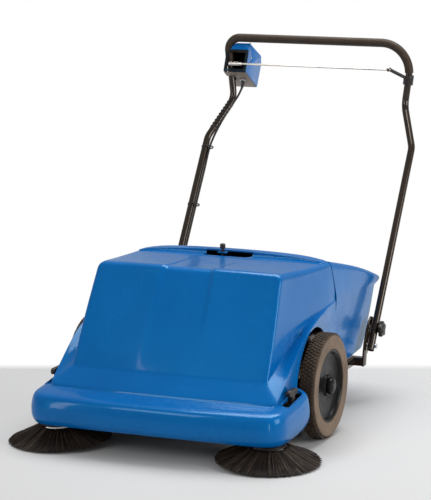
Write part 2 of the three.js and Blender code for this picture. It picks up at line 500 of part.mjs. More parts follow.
// ---------- power ----------
add("battery_tray", join(
  box(-176, 176, -52, 164, DECK_Z + GAP, DECK_Z + 3),
  box(-176, 176, -6, -3, DECK_Z + 1, DECK_Z + 24),
  box(-176, -173, -6, 164, DECK_Z + 1, DECK_Z + 24),
  box(173, 176, -6, 164, DECK_Z + 1, DECK_Z + 24),
), PAINT);
add("battery", join(
  box(-172, 172, -2, 156, DECK_Z + 3.4, 424),
  box(-170, 170, 0, 154, 423, 434),
  rod("z", 9, 433, 445, -140, 128, 14),
  rod("z", 9, 433, 445, 140, 128, 14),
), BLACK);
add("drive_motor", join(
  rod("x", MOTOR.r, MOTOR.x0, MOTOR.x1, MOTOR.y, MOTOR.z, 28),
  rod("x", MOTOR.r - 10, MOTOR.x0 - 14, MOTOR.x0 + 2, MOTOR.y, MOTOR.z, 20),
  rod("x", 7, MOTOR.x1 - 2, PULLEY.x1 + 2, MOTOR.y, MOTOR.z, 16),
  box(MOTOR.x0 + 30, MOTOR.x1 - 20, MOTOR.y + 20, -61, MOTOR.z + 30, MOTOR.z + 36),
  box(MOTOR.x0 + 30, MOTOR.x1 - 20, -66, -60.4, MOTOR.z + 30, DECK_Z - 1),
), STEEL);
{
  const top = box(LATCH.x - 23, LATCH.x + 23, 158, 190, 458, 461).subtract(box(LATCH.x - 4.7, LATCH.x + 4.7, 150, LATCH.y + 4.8, 450, 470));
  add("hood_latch_bracket", join(
    top,
    box(LATCH.x - 23, LATCH.x + 23, 187, 190, DECK_Z + GAP, 460),
    box(LATCH.x - 23, LATCH.x + 23, 166, 190, DECK_Z + GAP, DECK_Z + 3.5),
  ), PAINT);
}

// ---------- side brushes ----------
both((sx, side) => {
  const n = v3(0.042, -0.042, 1).normalize(), at = v3(SIDE.x, SIDE.y, 9.4);
  const round = (profile, seg = 24) => turned(profile, at, n, seg);
  add("side_brush_bristles_" + side, mirrored(round([[40, 29], [44, 41], [60, 42.6], [81, 31], [112, 17], [149.5, 2.4], [149.5, 0], [60, 26]], 28), sx), BRISTLE);
  add("side_brush_plate_" + side, mirrored(round([[8.4, 43.2], [50, 43.2], [50, 49], [26, 52], [24, 62.4], [8.4, 62.4]], 18), sx), BLACK);
  const arm = join(
    rod("x", 14, 280, 296, SIDE.pivotY, SIDE.pivotZ, 20),
    plateX([[SIDE.pivotY, 124], [-286, 124], [-294, 116], [-294, 77], [-284, 77], [-275, 100], [SIDE.pivotY, 100]], 280, 296),
    round([[12, 66.4], [37, 66.4], [37, 70.2], [12, 70.2]], 18),
    box(280, 302, -302, -284, 77.6, 80.6),
    box(324, 344, -308, -274, 76.2, 79.4),
  ).subtract(rod("x", 7.35, 270, 300, SIDE.pivotY, SIDE.pivotZ, 18)).subtract(round([[0, 60], [12, 60], [12, 90], [0, 90]], 12));
  add("side_brush_arm_" + side, mirrored(arm, sx), PAINT);
  const motor = join(round([[0, 70.6], [32, 70.6], [32, 122], [27, 127], [0, 127]], 18), round([[0, 44], [8, 44], [8, 72], [0, 72]], 12));
  add("side_brush_motor_" + side, mirrored(cut(motor, box(278, 296.4, -294.4, -180, 60, 130)), sx), STEEL);
  // lever: pad in the hood's slot, and a finger under the arm's tab
  const y = LEVER.y, z = LEVER.z;
  const pad = [...arc(y + 22, 186.5, 8.5, -80, 90, 5), ...arc(y - 22, 186.5, 8.5, 90, 260, 5)];
  const lever = join(
    plateX(pad, LEVER.x0, LEVER.x1),
    plateX([[y - 7, z], [y + 7, z], [y + 9, 180], [y - 9, 180]], LEVER.x0, LEVER.x1),
    rod("x", 10, LEVER.x0, LEVER.x1, y, z, 18),
    plateX([[y - 9, z + 4], [y + 6, z - 8], [y - 26, 66], [y - 34, 70]], LEVER.x0, LEVER.x1),
    rod("x", 4.5, 328, LEVER.x1, y - 30, 70.5, 14),
  ).subtract(rod("x", 5.35, 340, 370, y, z, 16));
  add("side_brush_lever_" + side, mirrored(lever, sx), BLACK);
});

// ---------- wheels ----------
both((sx, side) => {
  const at = v3(0, WHEEL.y, WHEEL.z), X = v3(1, 0, 0);
  add("tyre_" + side, mirrored(turned([[WHEEL.disc + 0.5, 333], [142, WHEEL.x0], [WHEEL.r, 339], [WHEEL.r, 373], [142, WHEEL.x1], [WHEEL.disc + 0.5, 379]], at, X, 32), sx), RUBBER);
  add("wheel_disc_" + side, mirrored(turned([[10.4, 332], [26, 332], [28, 345], [WHEEL.disc - 0.6, 338], [WHEEL.disc - 0.6, 374], [96, 372], [28, 360], [27, 371], [10.4, 371]], at, X, 24), sx), BLACK);
  add("hub_cap_" + side, mirrored(turned([[0, 385.5], [10.6, 385.5], [10.6, 371.5], [24, 371.5], [24, 380], [18, 387], [0, 389]], at, X, 16), sx), BLACK);
});

// ---------- caster ----------
add("caster_plate", box(-45, 45, CASTER.y - 30, CASTER.y + 30, 106, 111 - GAP), STEEL);
{
  const wy = CASTER.y + CASTER.trail, wz = CASTER.r;
  let fork = join(rod("z", 20, 88, 105.6, 0, CASTER.y, 20), box(-18, 18, CASTER.y - 18, wy + 6, 84, 90));
  for (const sx of [1, -1]) fork = fork.add(plateX([[CASTER.y - 16, 88], [wy + 6, 88], [wy + 12, wz], [wy + 8, wz - 10], [wy - 8, wz - 10], [wy - 12, wz]], ...(sx > 0 ? [14, 18] : [-18, -14])));
  add("caster_fork", fork.subtract(rod("x", 4.4, -30, 30, wy, wz, 14)), STEEL);
  add("caster_axle", join(rod("x", 4, -22, 22, wy, wz, 14), rod("x", 7, 18.4, 23, wy, wz, 6), rod("x", 7, -23, -18.4, wy, wz, 6)), CHROME);
  add("caster_wheel", turned([[4.4, -13], [13, -13], [30, -11], [36, -11.5], [CASTER.r, -7], [CASTER.r, 7], [36, 11.5], [30, 11], [13, 13], [4.4, 13]], v3(0, wy, wz), v3(1, 0, 0), 20), RUBBER);
}

// ---------- handle ----------
const POST = [v3(-343, TAIL[0], TAIL[1]), v3(-343, 833, 720), v3(-289, 925, 838), v3(-313, 930, BAR_Z), v3(313, 930, BAR_Z), v3(289, 925, 838), v3(343, 833, 720), v3(343, TAIL[0], TAIL[1])];
const BENDS = [70, 60, 38, 92, 60, 70];
const route = rounded(POST, BENDS);
// The stretch of one post between two heights.
function stretch(z0, z1, sx) {
  const p = (sx < 0 ? route : [...route].reverse()).slice(0, Math.floor(route.length / 2));
  const at = (z) => {
    const i = p.findIndex((q) => q.z > z), a = p[i - 1], b = p[i];
    return a.clone().lerp(b, (z - a.z) / (b.z - a.z));
  };
  return [at(z0), ...p.filter((q) => q.z > z0 + 1.5 && q.z < z1 - 1.5), at(z1)];
}
const onPost = (z, sx) => { // centre of the post at a height
  const a = sx > 0 ? [POST[5], POST[4]] : [POST[2], POST[3]];
  return a[0].clone().lerp(a[1], (z - a[0].z) / (a[1].z - a[0].z));
};
{
  const first = route[0].clone().sub(route[1]).normalize(), last = route[route.length - 1].clone().sub(route[route.length - 2]).normalize();
  const bore = [route[0].clone().addScaledVector(first, 4), ...route.slice(1, -1), route[route.length - 1].clone().addScaledVector(last, 4)];
  let s = tube(route, TUBE.r, 12).subtract(tube(bore, 9.4, 5));
  for (const [p, r] of [[[TILT.y, TILT.z], 5.3], [[CLAMP.y, CLAMP.z], 4.4]]) s = cut(s, rod("x", r, -360, -325, ...p, 16), rod("x", r, 325, 360, ...p, 16));
  add("handle_tube", s, PAINT);
  const GRIP_Z = 942;
  const over = route.filter((p) => p.z > GRIP_Z + 2);
  const line = [stretch(GRIP_Z, 960, -1)[0], ...over, stretch(GRIP_Z, 960, 1)[0]];
  const longer = [stretch(GRIP_Z - 6, 960, -1)[0], ...over, stretch(GRIP_Z - 6, 960, 1)[0]];
  add("grip_sleeve", tube(line, GRIP_R, 12).subtract(tube(longer, 11.8, 10)), SLEEVE);
}
both((sx, side) => {
  // star knob with its stud through the post and the bracket's slot
  const lobes = Array.from({ length: 25 }, (_, i) => {
    const a = (2 * Math.PI * i) / 25, r = 22.3 + 2.7 * Math.cos(5 * a);
    return [CLAMP.y + r * Math.sin(a), CLAMP.z + r * Math.cos(a)];
  });
  const s = join(
    plateX(lobes, 359.5, 371),
    rod("x", 13, 354.6, 373, CLAMP.y, CLAMP.z, 20),
    rod("x", 4, 322, 358, CLAMP.y, CLAMP.z, 16),
    rod("x", 7.4, 320.5, BRACKET.x0 - GAP, CLAMP.y, CLAMP.z, 6),
  );
  add("star_knob_" + side, mirrored(s, sx), BLACK);
});

// ---------- control box ----------
const BOX = { x0: -311, x1: -234, wall: 3, P: [[925, 1016], [1025, 966.6], [1025, 938], [989, 870], [887, 929]] };
{
  const centre = BOX.P.reduce((a, p) => [a[0] + p[0] / 5, a[1] + p[1] / 5], [0, 0]);
  // sides of the outline moved in by d
  const insetBy = (d) => BOX.P.map((p, i) => {
    const a = BOX.P[(i + 4) % 5], b = BOX.P[(i + 1) % 5];
    const line = (u, v) => {
      let nx = v[1] - u[1], ny = u[0] - v[0];
      const l = Math.hypot(nx, ny); nx /= l; ny /= l;
      if (nx * (centre[0] - u[0]) + ny * (centre[1] - u[1]) < 0) { nx = -nx; ny = -ny; }
      return [nx, ny, nx * u[0] + ny * u[1] + d];
    };
    const [a1, b1, c1] = line(a, p), [a2, b2, c2] = line(p, b);
    const det = a1 * b2 - a2 * b1;
    return [(c1 * b2 - c2 * b1) / det, (a1 * c2 - a2 * c1) / det];
  });
  const under = [BOX.P[3], BOX.P[4]];
  const run = Math.hypot(under[1][0] - under[0][0], under[1][1] - under[0][1]);
  const d = [(under[1][0] - under[0][0]) / run, (under[1][1] - under[0][1]) / run], nrm = [-d[1], d[0]];
  const off = (p, along, out) => [p[0] + d[0] * along + nrm[0] * out, p[1] + d[1] * along + nrm[1] * out];
  let s = plateX(BOX.P, BOX.x0, BOX.x1);
  s = s.subtract(plateX([...insetBy(BOX.wall).slice(0, 3), off(insetBy(BOX.wall)[3], 0, 20), off(insetBy(BOX.wall)[4], 0, 20)], BOX.x0 + BOX.wall, BOX.x1 - BOX.wall));
  // opening in front for the switch bar
  s = s.subtract(plateX([[860, 936], [930, 936], [930, 993], [860, 993]], -303, -243).intersect(plateX([[860, 900], [915, 905], [915, 993], [860, 993]], -400, 400)));
  const k = route.findIndex((p) => p.x > -310 && p.z > 1000);
  const post = tube([stretch(850, 900, -1)[0], ...route.slice(0, k + 14).filter((p) => p.z > 860 && p.x < 0), v3(-200, 930, BAR_Z)], 16, 12);
  s = s.subtract(post);
  // key's hole, square to the sloping rear face
  const f = [(BOX.P[1][0] - BOX.P[0][0]) / 111.5, (BOX.P[1][1] - BOX.P[0][1]) / 111.5], up = [-f[1], f[0]];
  const on = (t, h) => [BOX.P[0][0] + f[0] * t + up[0] * h, BOX.P[0][1] + f[1] * t + up[1] * h];
  const K = on(62, 0), kx = -258, kAxis = v3(0, up[0], up[1]);
  const keyHole = turned([[0, -12], [7, -12], [7, 12], [0, 12]], v3(kx, ...K), kAxis, 18);
  s = s.subtract(keyHole);
  // screw's head in the side
  s = s.subtract(rod("x", 4.4, BOX.x1 - 1.2, BOX.x1 + 3, 938, 968, 14));
  add("control_box_cover", s, BLUE);
  const basePts = [off(BOX.P[4], -4, GAP), off(BOX.P[3], 2, GAP), off(BOX.P[3], 2, 3.4), off(BOX.P[4], -4, 3.4)];
  add("control_box_base", plateX(basePts, BOX.x0 + 1, BOX.x1 - 1).subtract(tube([onPost(850, -1), onPost(990, -1)], 15.6, 12)).subtract(rod("z", 5.4, 860, 960, -262, 935, 16)), TAUPE);
  add("control_panel", plateX([on(24, GAP), on(104, GAP), on(104, 2.6), on(24, 2.6)], -282, -240).subtract(keyHole), BLACK);
  add("key_switch", join(
    turned([[0, -10], [6.4, -10], [6.4, 2.9], [10, 3], [10, 6], [0, 6]], v3(kx, ...K), kAxis, 20),
    plateX([on(57, 5), on(67, 5), on(69, 24), on(55, 24)], kx - 1.2, kx + 1.2),
  ), STEEL);
}

// ---------- switch bar ----------
add("bail_rod", join(
  rod("x", 3.25, -288, BAIL.x1 + 1, BAIL.y, BAIL.z, 14),
  rod("x", 6, -290, -244.5, BAIL.y, BAIL.z, 18),
  box(-274, -266, BAIL.y, 906, 951.2, 956.8),
  rod("y", 6, BAIL.y - 3.4, BAIL.y + 3.4, BAIL.x1 + 6, BAIL.z, 18),
).subtract(rod("y", 2.9, BAIL.y - 9, BAIL.y + 9, BAIL.x1 + 6, BAIL.z, 14)), CHROME);
{
  const p = onPost(922, 1), q = v3(BAIL.x1 + 6, BAIL.y + 8.6, BAIL.z);
  let s = join(tube(stretch(905, 933, 1), 16, 12), bar(p, q, 5.5, 12), rod("y", 6, BAIL.y + 3.8, BAIL.y + 13, q.x, q.z, 16), rod("y", 2.5, BAIL.y - 5, BAIL.y + 6, q.x, q.z, 14));
  s = s.subtract(tube(stretch(895, 936, 1), 11.8, 12));
  add("bail_pivot_arm", s, BLACK);
}

// ---------- cable ----------
{
  const at = (z, off, dy = 0) => { // beside the straight part of the left post, inboard and towards the front
    const t = (z - TAIL[1]) / (720 - TAIL[1]);
    return v3(-343 + off, TAIL[0] + (833 - TAIL[0]) * t + dy, z);
  };
  const pts = [v3(-262, 935, 926), v3(-262, 935, 884), v3(-268, 922, 856), v3(-280, 892, 822), v3(-302, 852, 770), at(700, 16.6), at(620, 15.6), at(258, 15.6)];
  const curve = new THREE.CatmullRomCurve3(pts, false, "centripetal");
  add("handle_cable", tube(curve.getPoints(24), 3.4, 7), BLACK);
  add("post_spiral_sleeve", tube(stretch(742, 826, -1), 13, 10).subtract(tube(stretch(736, 832, -1), 11.8, 10)), BLACK);
}
machine.position.set(0, SHIFT_Y, 0);
const group = new THREE.Group();
group.add(machine);
export default group;
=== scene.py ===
import math
import random

import bmesh
import bpy
import numpy as np
from mathutils import Matrix, Vector


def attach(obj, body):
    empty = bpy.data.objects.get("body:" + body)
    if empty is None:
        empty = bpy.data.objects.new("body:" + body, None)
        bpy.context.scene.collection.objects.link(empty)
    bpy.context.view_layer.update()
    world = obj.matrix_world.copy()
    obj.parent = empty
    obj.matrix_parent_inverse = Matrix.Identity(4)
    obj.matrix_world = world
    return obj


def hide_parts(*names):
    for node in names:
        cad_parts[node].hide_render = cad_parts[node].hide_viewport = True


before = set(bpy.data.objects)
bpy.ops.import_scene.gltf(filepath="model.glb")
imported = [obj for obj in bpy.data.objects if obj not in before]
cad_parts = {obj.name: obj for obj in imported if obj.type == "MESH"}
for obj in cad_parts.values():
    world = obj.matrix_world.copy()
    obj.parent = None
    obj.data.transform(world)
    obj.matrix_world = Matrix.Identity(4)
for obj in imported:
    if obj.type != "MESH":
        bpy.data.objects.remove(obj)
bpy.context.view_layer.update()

rng = random.Random(11)
SY = -0.27585  # the machine's own frame (axle at y = 0) in the row frame


def M(x, y, z):
    return Vector((x / 1000, y / 1000 + SY, z / 1000))


# ---------------------------------------------------------------- camera, light, floor
scene = bpy.context.scene
cam_data = bpy.data.cameras.new("camera")
cam_data.lens = 167.14
cam_data.sensor_width = 36
cam_data.clip_end = 60
cam = bpy.data.objects.new("camera", cam_data)
cam.location = (2.49458, -6.29215, 1.69538)
cam.rotation_euler = (math.radians(90 - 10.290), 0, math.radians(22.311))
scene.collection.objects.link(cam)
scene.camera = cam

world = bpy.data.worlds.new("studio")
world.use_nodes = True
bg = world.node_tree.nodes["Background"]
bg.inputs[0].default_value = (1, 1, 1, 1)
bg.inputs[1].default_value = 0.38
scene.world = world
scene.view_settings.view_transform = "Standard"


def area(name, loc, target, size, power, color=(1, 1, 1), size_y=None):
    d = bpy.data.lights.new(name, "AREA")
    d.energy = power
    d.color = color
    d.size = size
    if size_y:
        d.shape = "RECTANGLE"
        d.size_y = size_y
    o = bpy.data.objects.new(name, d)
    o.location = loc
    o.rotation_euler = (Vector(target) - Vector(loc)).to_track_quat("-Z", "Y").to_euler()
    scene.collection.objects.link(o)
    return o


area("front", (-1.6, -4.2, 2.6), (0, -0.3, 0.3), 1.6, 44)
area("side", (4.2, -0.6, 1.9), (0.3, 0, 0.3), 2.2, 105)
area("strip_left", (-2.4, -3.2, 0.9), (-0.3, -0.6, 0.25), 0.25, 9, size_y=1.6)
area("strip_right", (2.6, -3.4, 0.8), (0.35, -0.6, 0.25), 0.25, 9, size_y=1.6)
area("top", (0.1, 0.9, 3.4), (0, -0.1, 0.3), 2.4, 120)


# ---------------------------------------------------------------- materials
def shader(name, slot=None):
    m = bpy.data.materials.new(name)
    m.use_nodes = True
    t = m.node_tree
    return m, t, t.nodes["Principled BSDF"]


def noise(t, scale, detail=3.0, rough=0.5, stretch=None):
    co = t.nodes.new("ShaderNodeTexCoord")
    n = t.nodes.new("ShaderNodeTexNoise")
    n.inputs["Scale"].default_value = scale
    n.inputs["Detail"].default_value = detail
    n.inputs["Roughness"].default_value = rough
    if stretch:
        mp = t.nodes.new("ShaderNodeMapping")
        mp.inputs["Scale"].default_value = stretch
        t.links.new(co.outputs["Object"], mp.inputs["Vector"])
        t.links.new(mp.outputs["Vector"], n.inputs["Vector"])
    else:
        t.links.new(co.outputs["Object"], n.inputs["Vector"])
    return n


def ramp(t, src, stops):
    r = t.nodes.new("ShaderNodeValToRGB")
    e = r.color_ramp.elements
    e[0].position, e[0].color = stops[0][0], (*stops[0][1], 1)
    e[1].position, e[1].color = stops[-1][0], (*stops[-1][1], 1)
    for p, c in stops[1:-1]:
        x = e.new(p)
        x.color = (*c, 1)
    t.links.new(src, r.inputs["Fac"])
    return r


def finish_mat(t, b, colour, rough, bump=None, metallic=0.0, coat=0.0, spec=0.5, colour_scale=6, rough_scale=30, stretch=None, sheen=0.0, tint=(1, 1, 1)):
    """colour: two colours mixed by noise; rough: two values; bump: (scale, strength, distance)"""
    n = noise(t, colour_scale, 4, 0.55, stretch)
    r = ramp(t, n.outputs["Fac"], [(0.3, colour[0]), (0.7, colour[1])])
    t.links.new(r.outputs["Color"], b.inputs["Base Color"])
    n2 = noise(t, rough_scale, 3, 0.6, stretch)
    mr = t.nodes.new("ShaderNodeMapRange")
    mr.inputs["From Min"].default_value = 0.3
    mr.inputs["From Max"].default_value = 0.7
    mr.inputs["To Min"].default_value = rough[0]
    mr.inputs["To Max"].default_value = rough[1]
    t.links.new(n2.outputs["Fac"], mr.inputs["Value"])
    t.links.new(mr.outputs["Result"], b.inputs["Roughness"])
    if bump:
        n3 = noise(t, bump[0], 4, 0.6, stretch)
        bp = t.nodes.new("ShaderNodeBump")
        bp.inputs["Strength"].default_value = bump[1]
        bp.inputs["Distance"].default_value = bump[2]
        t.links.new(n3.outputs["Fac"], bp.inputs["Height"])
        t.links.new(bp.outputs["Normal"], b.inputs["Normal"])
    b.inputs["Metallic"].default_value = metallic
    b.inputs["Coat Weight"].default_value = coat
    b.inputs["Coat Roughness"].default_value = 0.06
    b.inputs["Specular IOR Level"].default_value = spec
    b.inputs["Sheen Weight"].default_value = sheen
    b.inputs["Specular Tint"].default_value = (*tint, 1)
    b.inputs["Coat Tint"].default_value = (*tint, 1)


def make(name, *a, **k):
    m, t, b = shader(name)
    finish_mat(t, b, *a, **k)
    return m


BLUE = make("blue_gloss", [(0.000, 0.108, 0.335), (0.000, 0.134, 0.390)], (0.20, 0.30), bump=(260, 0.05, 0.0006), coat=0.25, spec=0.35, colour_scale=3, rough_scale=18, tint=(0.04, 0.55, 0.85))
BLACK = make("black_plastic", [(0.011, 0.008, 0.006), (0.020, 0.015, 0.012)], (0.34, 0.52), bump=(700, 0.25, 0.0003), spec=0.4)
DISC = make("wheel_black", [(0.003, 0.003, 0.003), (0.006, 0.006, 0.006)], (0.24, 0.36), bump=(600, 0.2, 0.0003), spec=0.18)
PAINT = make("black_paint", [(0.010, 0.007, 0.005), (0.017, 0.012, 0.009)], (0.16, 0.26), bump=(500, 0.06, 0.0003), coat=0.45, spec=0.4, metallic=0.1, tint=(1.0, 0.86, 0.74))
STEEL = make("zinc_steel", [(0.42, 0.43, 0.44), (0.55, 0.55, 0.55)], (0.25, 0.42), bump=(900, 0.12, 0.0002), metallic=1.0, stretch=(1, 9, 9))
CHROME = make("chrome_bar", [(0.50, 0.46, 0.42), (0.60, 0.56, 0.52)], (0.12, 0.22), metallic=1.0, rough_scale=90)
ALLOY = make("cast_alloy", [(0.40, 0.41, 0.42), (0.52, 0.53, 0.54)], (0.38, 0.55), bump=(420, 0.3, 0.0004), metallic=0.9)
SHEET = make("galvanised_sheet", [(0.30, 0.31, 0.32), (0.42, 0.43, 0.44)], (0.35, 0.5), metallic=0.8, colour_scale=40, bump=(60, 0.05, 0.0004))
RUBBER = make("black_rubber", [(0.020, 0.019, 0.018), (0.035, 0.033, 0.030)], (0.6, 0.8), bump=(500, 0.3, 0.0004))
GRIP = make("foam_sleeve", [(0.020, 0.013, 0.009), (0.034, 0.024, 0.017)], (0.45, 0.62), bump=(1300, 0.5, 0.0004), colour_scale=60, spec=0.35, tint=(1.0, 0.85, 0.72))
TAUPE = make("taupe_plastic", [(0.13, 0.098, 0.075), (0.17, 0.13, 0.10)], (0.4, 0.55), bump=(800, 0.2, 0.0003))
CABLE = make("cable_sheath", [(0.007, 0.005, 0.004), (0.012, 0.009, 0.007)], (0.35, 0.5), bump=(300, 0.1, 0.0003), spec=0.4)
BATTERY = make("battery_case", [(0.03, 0.03, 0.032), (0.05, 0.05, 0.053)], (0.45, 0.6), bump=(500, 0.25, 0.0004))
GREY = make("grey_plastic", [(0.20, 0.205, 0.21), (0.26, 0.265, 0.27)], (0.4, 0.55), bump=(500, 0.15, 0.0004))
TYRE = make("tyre_rubber", [(0.135, 0.094, 0.066), (0.195, 0.142, 0.102)], (0.66, 0.85), bump=(420, 0.35, 0.0006), colour_scale=14, spec=0.3)
TREAD = make("tyre_tread", [(0.036, 0.023, 0.015), (0.070, 0.048, 0.033)], (0.7, 0.88), bump=(300, 0.4, 0.0008), colour_scale=40, spec=0.3)
BRISTLE = make("bristles", [(0.006, 0.003, 0.002), (0.028, 0.018, 0.012)], (0.4, 0.65), bump=(1500, 0.3, 0.0002), colour_scale=45, spec=0.3)
BRISTLE_LIGHT = make("bristles_light", [(0.050, 0.033, 0.023), (0.105, 0.076, 0.056)], (0.4, 0.65), bump=(1500, 0.3, 0.0002), colour_scale=45, spec=0.3)
RED = make("red_key", [(0.32, 0.02, 0.015), (0.40, 0.03, 0.02)], (0.3, 0.45), bump=(600, 0.1, 0.0003))

# the box's cover is blue; the strip of front wall below z 996.5 mm and the inside faces are painted near-black, painted
# shade standing in for the shadowed inside of the box
BOX_BLUE_PAINTED_SHADE, tb, bb = shader("box_cover_blue_painted_shade")
finish_mat(tb, bb, [(0.000, 0.118, 0.375), (0.000, 0.142, 0.430)], (0.22, 0.34), bump=(260, 0.05, 0.0006), coat=0.25, spec=0.35, colour_scale=12, rough_scale=30, tint=(0.04, 0.55, 0.85))
co = tb.nodes.new("ShaderNodeTexCoord")
dp = tb.nodes.new("ShaderNodeVectorMath")
dp.operation = "DOT_PRODUCT"
dp.inputs[1].default_value = (0, -0.9166, 0.4003)
tb.links.new(co.outputs["Object"], dp.inputs[0])
near = tb.nodes.new("ShaderNodeMath")
near.operation = "GREATER_THAN"
near.inputs[1].default_value = -0.9166 * (0.887 + SY) + 0.4003 * 0.929 - 0.0007
tb.links.new(dp.outputs["Value"], near.inputs[0])
sx3 = tb.nodes.new("ShaderNodeSeparateXYZ")
tb.links.new(co.outputs["Object"], sx3.inputs[0])
low = tb.nodes.new("ShaderNodeMath")
low.operation = "LESS_THAN"
low.inputs[1].default_value = 0.9965
tb.links.new(sx3.outputs["Z"], low.inputs[0])
# mask of the front wall below the top edge: where the painted shade goes
painted_shade_mask = tb.nodes.new("ShaderNodeMath")
painted_shade_mask.operation = "MULTIPLY"
tb.links.new(near.outputs[0], painted_shade_mask.inputs[0])
tb.links.new(low.outputs[0], painted_shade_mask.inputs[1])
mixc = tb.nodes.new("ShaderNodeMix")
mixc.data_type = "RGBA"
src = bb.inputs["Base Color"].links[0].from_socket
tb.links.new(painted_shade_mask.outputs[0], mixc.inputs["Factor"])
tb.links.new(src, [q for q in mixc.inputs if q.name == "A" and q.type == "RGBA"][0])
# painted shade: near-black colour on the front wall strip, standing in for the shadowed inside of the box
[q for q in mixc.inputs if q.name == "B" and q.type == "RGBA"][0].default_value = (0.010, 0.008, 0.007, 1)
tb.links.new([q for q in mixc.outputs if q.type == "RGBA"][0], bb.inputs["Base Color"])

# floor: pale grey sweep that turns white behind the machine
mf, tf, bf = shader("floor")
co = tf.nodes.new("ShaderNodeTexCoord")
sep = tf.nodes.new("ShaderNodeVectorMath")
sep.operation = "DOT_PRODUCT"
d = Vector((-math.sin(math.radians(22.311)), math.cos(math.radians(22.311)), 0))
sep.inputs[1].default_value = d
tf.links.new(co.outputs["Object"], sep.inputs[0])
edge = tf.nodes.new("ShaderNodeMapRange")
EDGE = 7.256 + d.dot(Vector((2.49458, -6.29215, 0)))
edge.inputs["From Min"].default_value = EDGE - 0.04
edge.inputs["From Max"].default_value = EDGE + 0.03
tf.links.new(sep.outputs["Value"], edge.inputs["Value"])
nz = noise(tf, 2.0, 2)
rf = ramp(tf, nz.outputs["Fac"], [(0.3, (0.545, 0.545, 0.545)), (0.7, (0.56, 0.56, 0.56))])
tf.links.new(rf.outputs["Color"], bf.inputs["Base Color"])
bf.inputs["Roughness"].default_value = 0.75
bf.inputs["Specular IOR Level"].default_value = 0.15
em = tf.nodes.new("ShaderNodeEmission")
em.inputs["Strength"].default_value = 1.0
mixs = tf.nodes.new("ShaderNodeMixShader")
tf.links.new(edge.outputs["Result"], mixs.inputs[0])
tf.links.new(bf.outputs[0], mixs.inputs[1])
tf.links.new(em.outputs[0], mixs.inputs[2])
tf.links.new(mixs.outputs[0], tf.nodes["Material Output"].inputs[0])
fm = bpy.data.meshes.new("floor")
fm.from_pydata([(-40, -40, 0), (40, -40, 0), (40, 40, 0), (-40, 40, 0)], [], [(0, 1, 2, 3)])
floor = bpy.data.objects.new("floor", fm)
floor.location.z = -0.0012
fm.materials.append(mf)
scene.collection.objects.link(floor)


# ---------------------------------------------------------------- mesh helpers
def smooth(me, angle=35):
    me.polygons.foreach_set("use_smooth", [True] * len(me.polygons))
    me.set_sharp_from_angle(angle=math.radians(angle))


def piece(name, verts, faces, mats, body, replaces=(), slot=None, angle=35, mat_ids=None, fix=True):
    me = bpy.data.meshes.new(name)
    me.from_pydata([tuple(v) for v in verts], [], faces)
    if not isinstance(mats, (list, tuple)):
        mats = [mats]
    for m in mats:
        me.materials.append(m)
    if mat_ids is not None:
        me.polygons.foreach_set("material_index", mat_ids)
    if fix:
        bm = bmesh.new()
        bm.from_mesh(me)
        bmesh.ops.remove_doubles(bm, verts=bm.verts, dist=1e-6)
        bmesh.ops.recalc_face_normals(bm, faces=bm.faces)
        bm.to_mesh(me)
        bm.free()
    smooth(me, angle)
    o = bpy.data.objects.new(name, me)
    scene.collection.objects.link(o)
    if body:
        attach(o, body)
    if replaces:
        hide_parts(*replaces)
    return o


def bake(o):
    dg = bpy.context.evaluated_depsgraph_get()
    dg.update()
    me = bpy.data.meshes.new_from_object(o.evaluated_get(dg))
    o.modifiers.clear()
    o.data = me
    return o


def lathe(profile, at, axis, seg=48, closed=True, start=0.0, sweep_full=True):
    """vertices and faces of a turned body; profile is [radius mm, position mm]"""
    axis = Vector(axis).normalized()
    u = axis.orthogonal().normalized()
    w = axis.cross(u)
    verts, faces = [], []
    n = len(profile)
    for i in range(seg):
        a = start + 2 * math.pi * i / seg
        e = u * math.cos(a) + w * math.sin(a)
        for r, h in profile:
            verts.append(at + e * (r / 1000) + axis * (h / 1000))
    for i in range(seg):
        j = (i + 1) % seg
        for k in range(n if closed else n - 1):
            l = (k + 1) % n
            faces.append((i * n + k, i * n + l, j * n + l, j * n + k))
    return verts, faces


def merge(*parts):
    verts, faces = [], []
    for v, f in parts:
        k = len(verts)
        verts += v
        faces += [tuple(i + k for i in q) for q in f]
    return verts, faces


def sweep(points, radius, sides=14, cap=True, radii=None):
    pts = [Vector(p) for p in points]
    verts, faces = [], []
    t0 = (pts[1] - pts[0]).normalized()
    nrm = t0.orthogonal().normalized()
    for i, p in enumerate(pts):
        if i == 0:
            t = t0
        elif i == len(pts) - 1:
            t = (pts[-1] - pts[-2]).normalized()
        else:
            t = ((pts[i + 1] - p).normalized() + (p - pts[i - 1]).normalized()).normalized()
        nrm = (nrm - t * nrm.dot(t)).normalized()
        b = t.cross(nrm)
        r = radii[i] if radii else radius
        for k in range(sides):
            a = 2 * math.pi * k / sides
            verts.append(p + (nrm * math.cos(a) + b * math.sin(a)) * r)
    for i in range(len(pts) - 1):
        for k in range(sides):
            l = (k + 1) % sides
            faces.append((i * sides + k, i * sides + l, (i + 1) * sides + l, (i + 1) * sides + k))
    if cap:
        faces.append(tuple(reversed(range(sides))))
        faces.append(tuple(range((len(pts) - 1) * sides, len(pts) * sides)))
    return verts, faces


def prism(outline, x0, x1):
    n = len(outline)
    verts = [M(x0, y, z) for y, z in outline] + [M(x1, y, z) for y, z in outline]
    faces = [tuple(range(n)), tuple(reversed(range(n, 2 * n)))]
    faces += [(i, (i + 1) % n, n + (i + 1) % n, n + i) for i in range(n)]
    return verts, faces


def prism_z(outline, z0, z1):
    n = len(outline)
    verts = [M(x, y, z0) for x, y in outline] + [M(x, y, z1) for x, y in outline]
    faces = [tuple(reversed(range(n))), tuple(range(n, 2 * n))]
    faces += [(i, (i + 1) % n, n + (i + 1) % n, n + i) for i in range(n)]
    return verts, faces


def block(x0, x1, y0, y1, z0, z1):
    return prism([(y0, z0), (y1, z0), (y1, z1), (y0, z1)], x0, x1)


def bevel(o, width=0.0012, seg=2, angle=40):
    b = o.modifiers.new("edge", "BEVEL")
    b.width = width
    b.segments = seg
    b.limit_method = "ANGLE"
    b.angle_limit = math.radians(angle)
    b.use_clamp_overlap = True
    return b


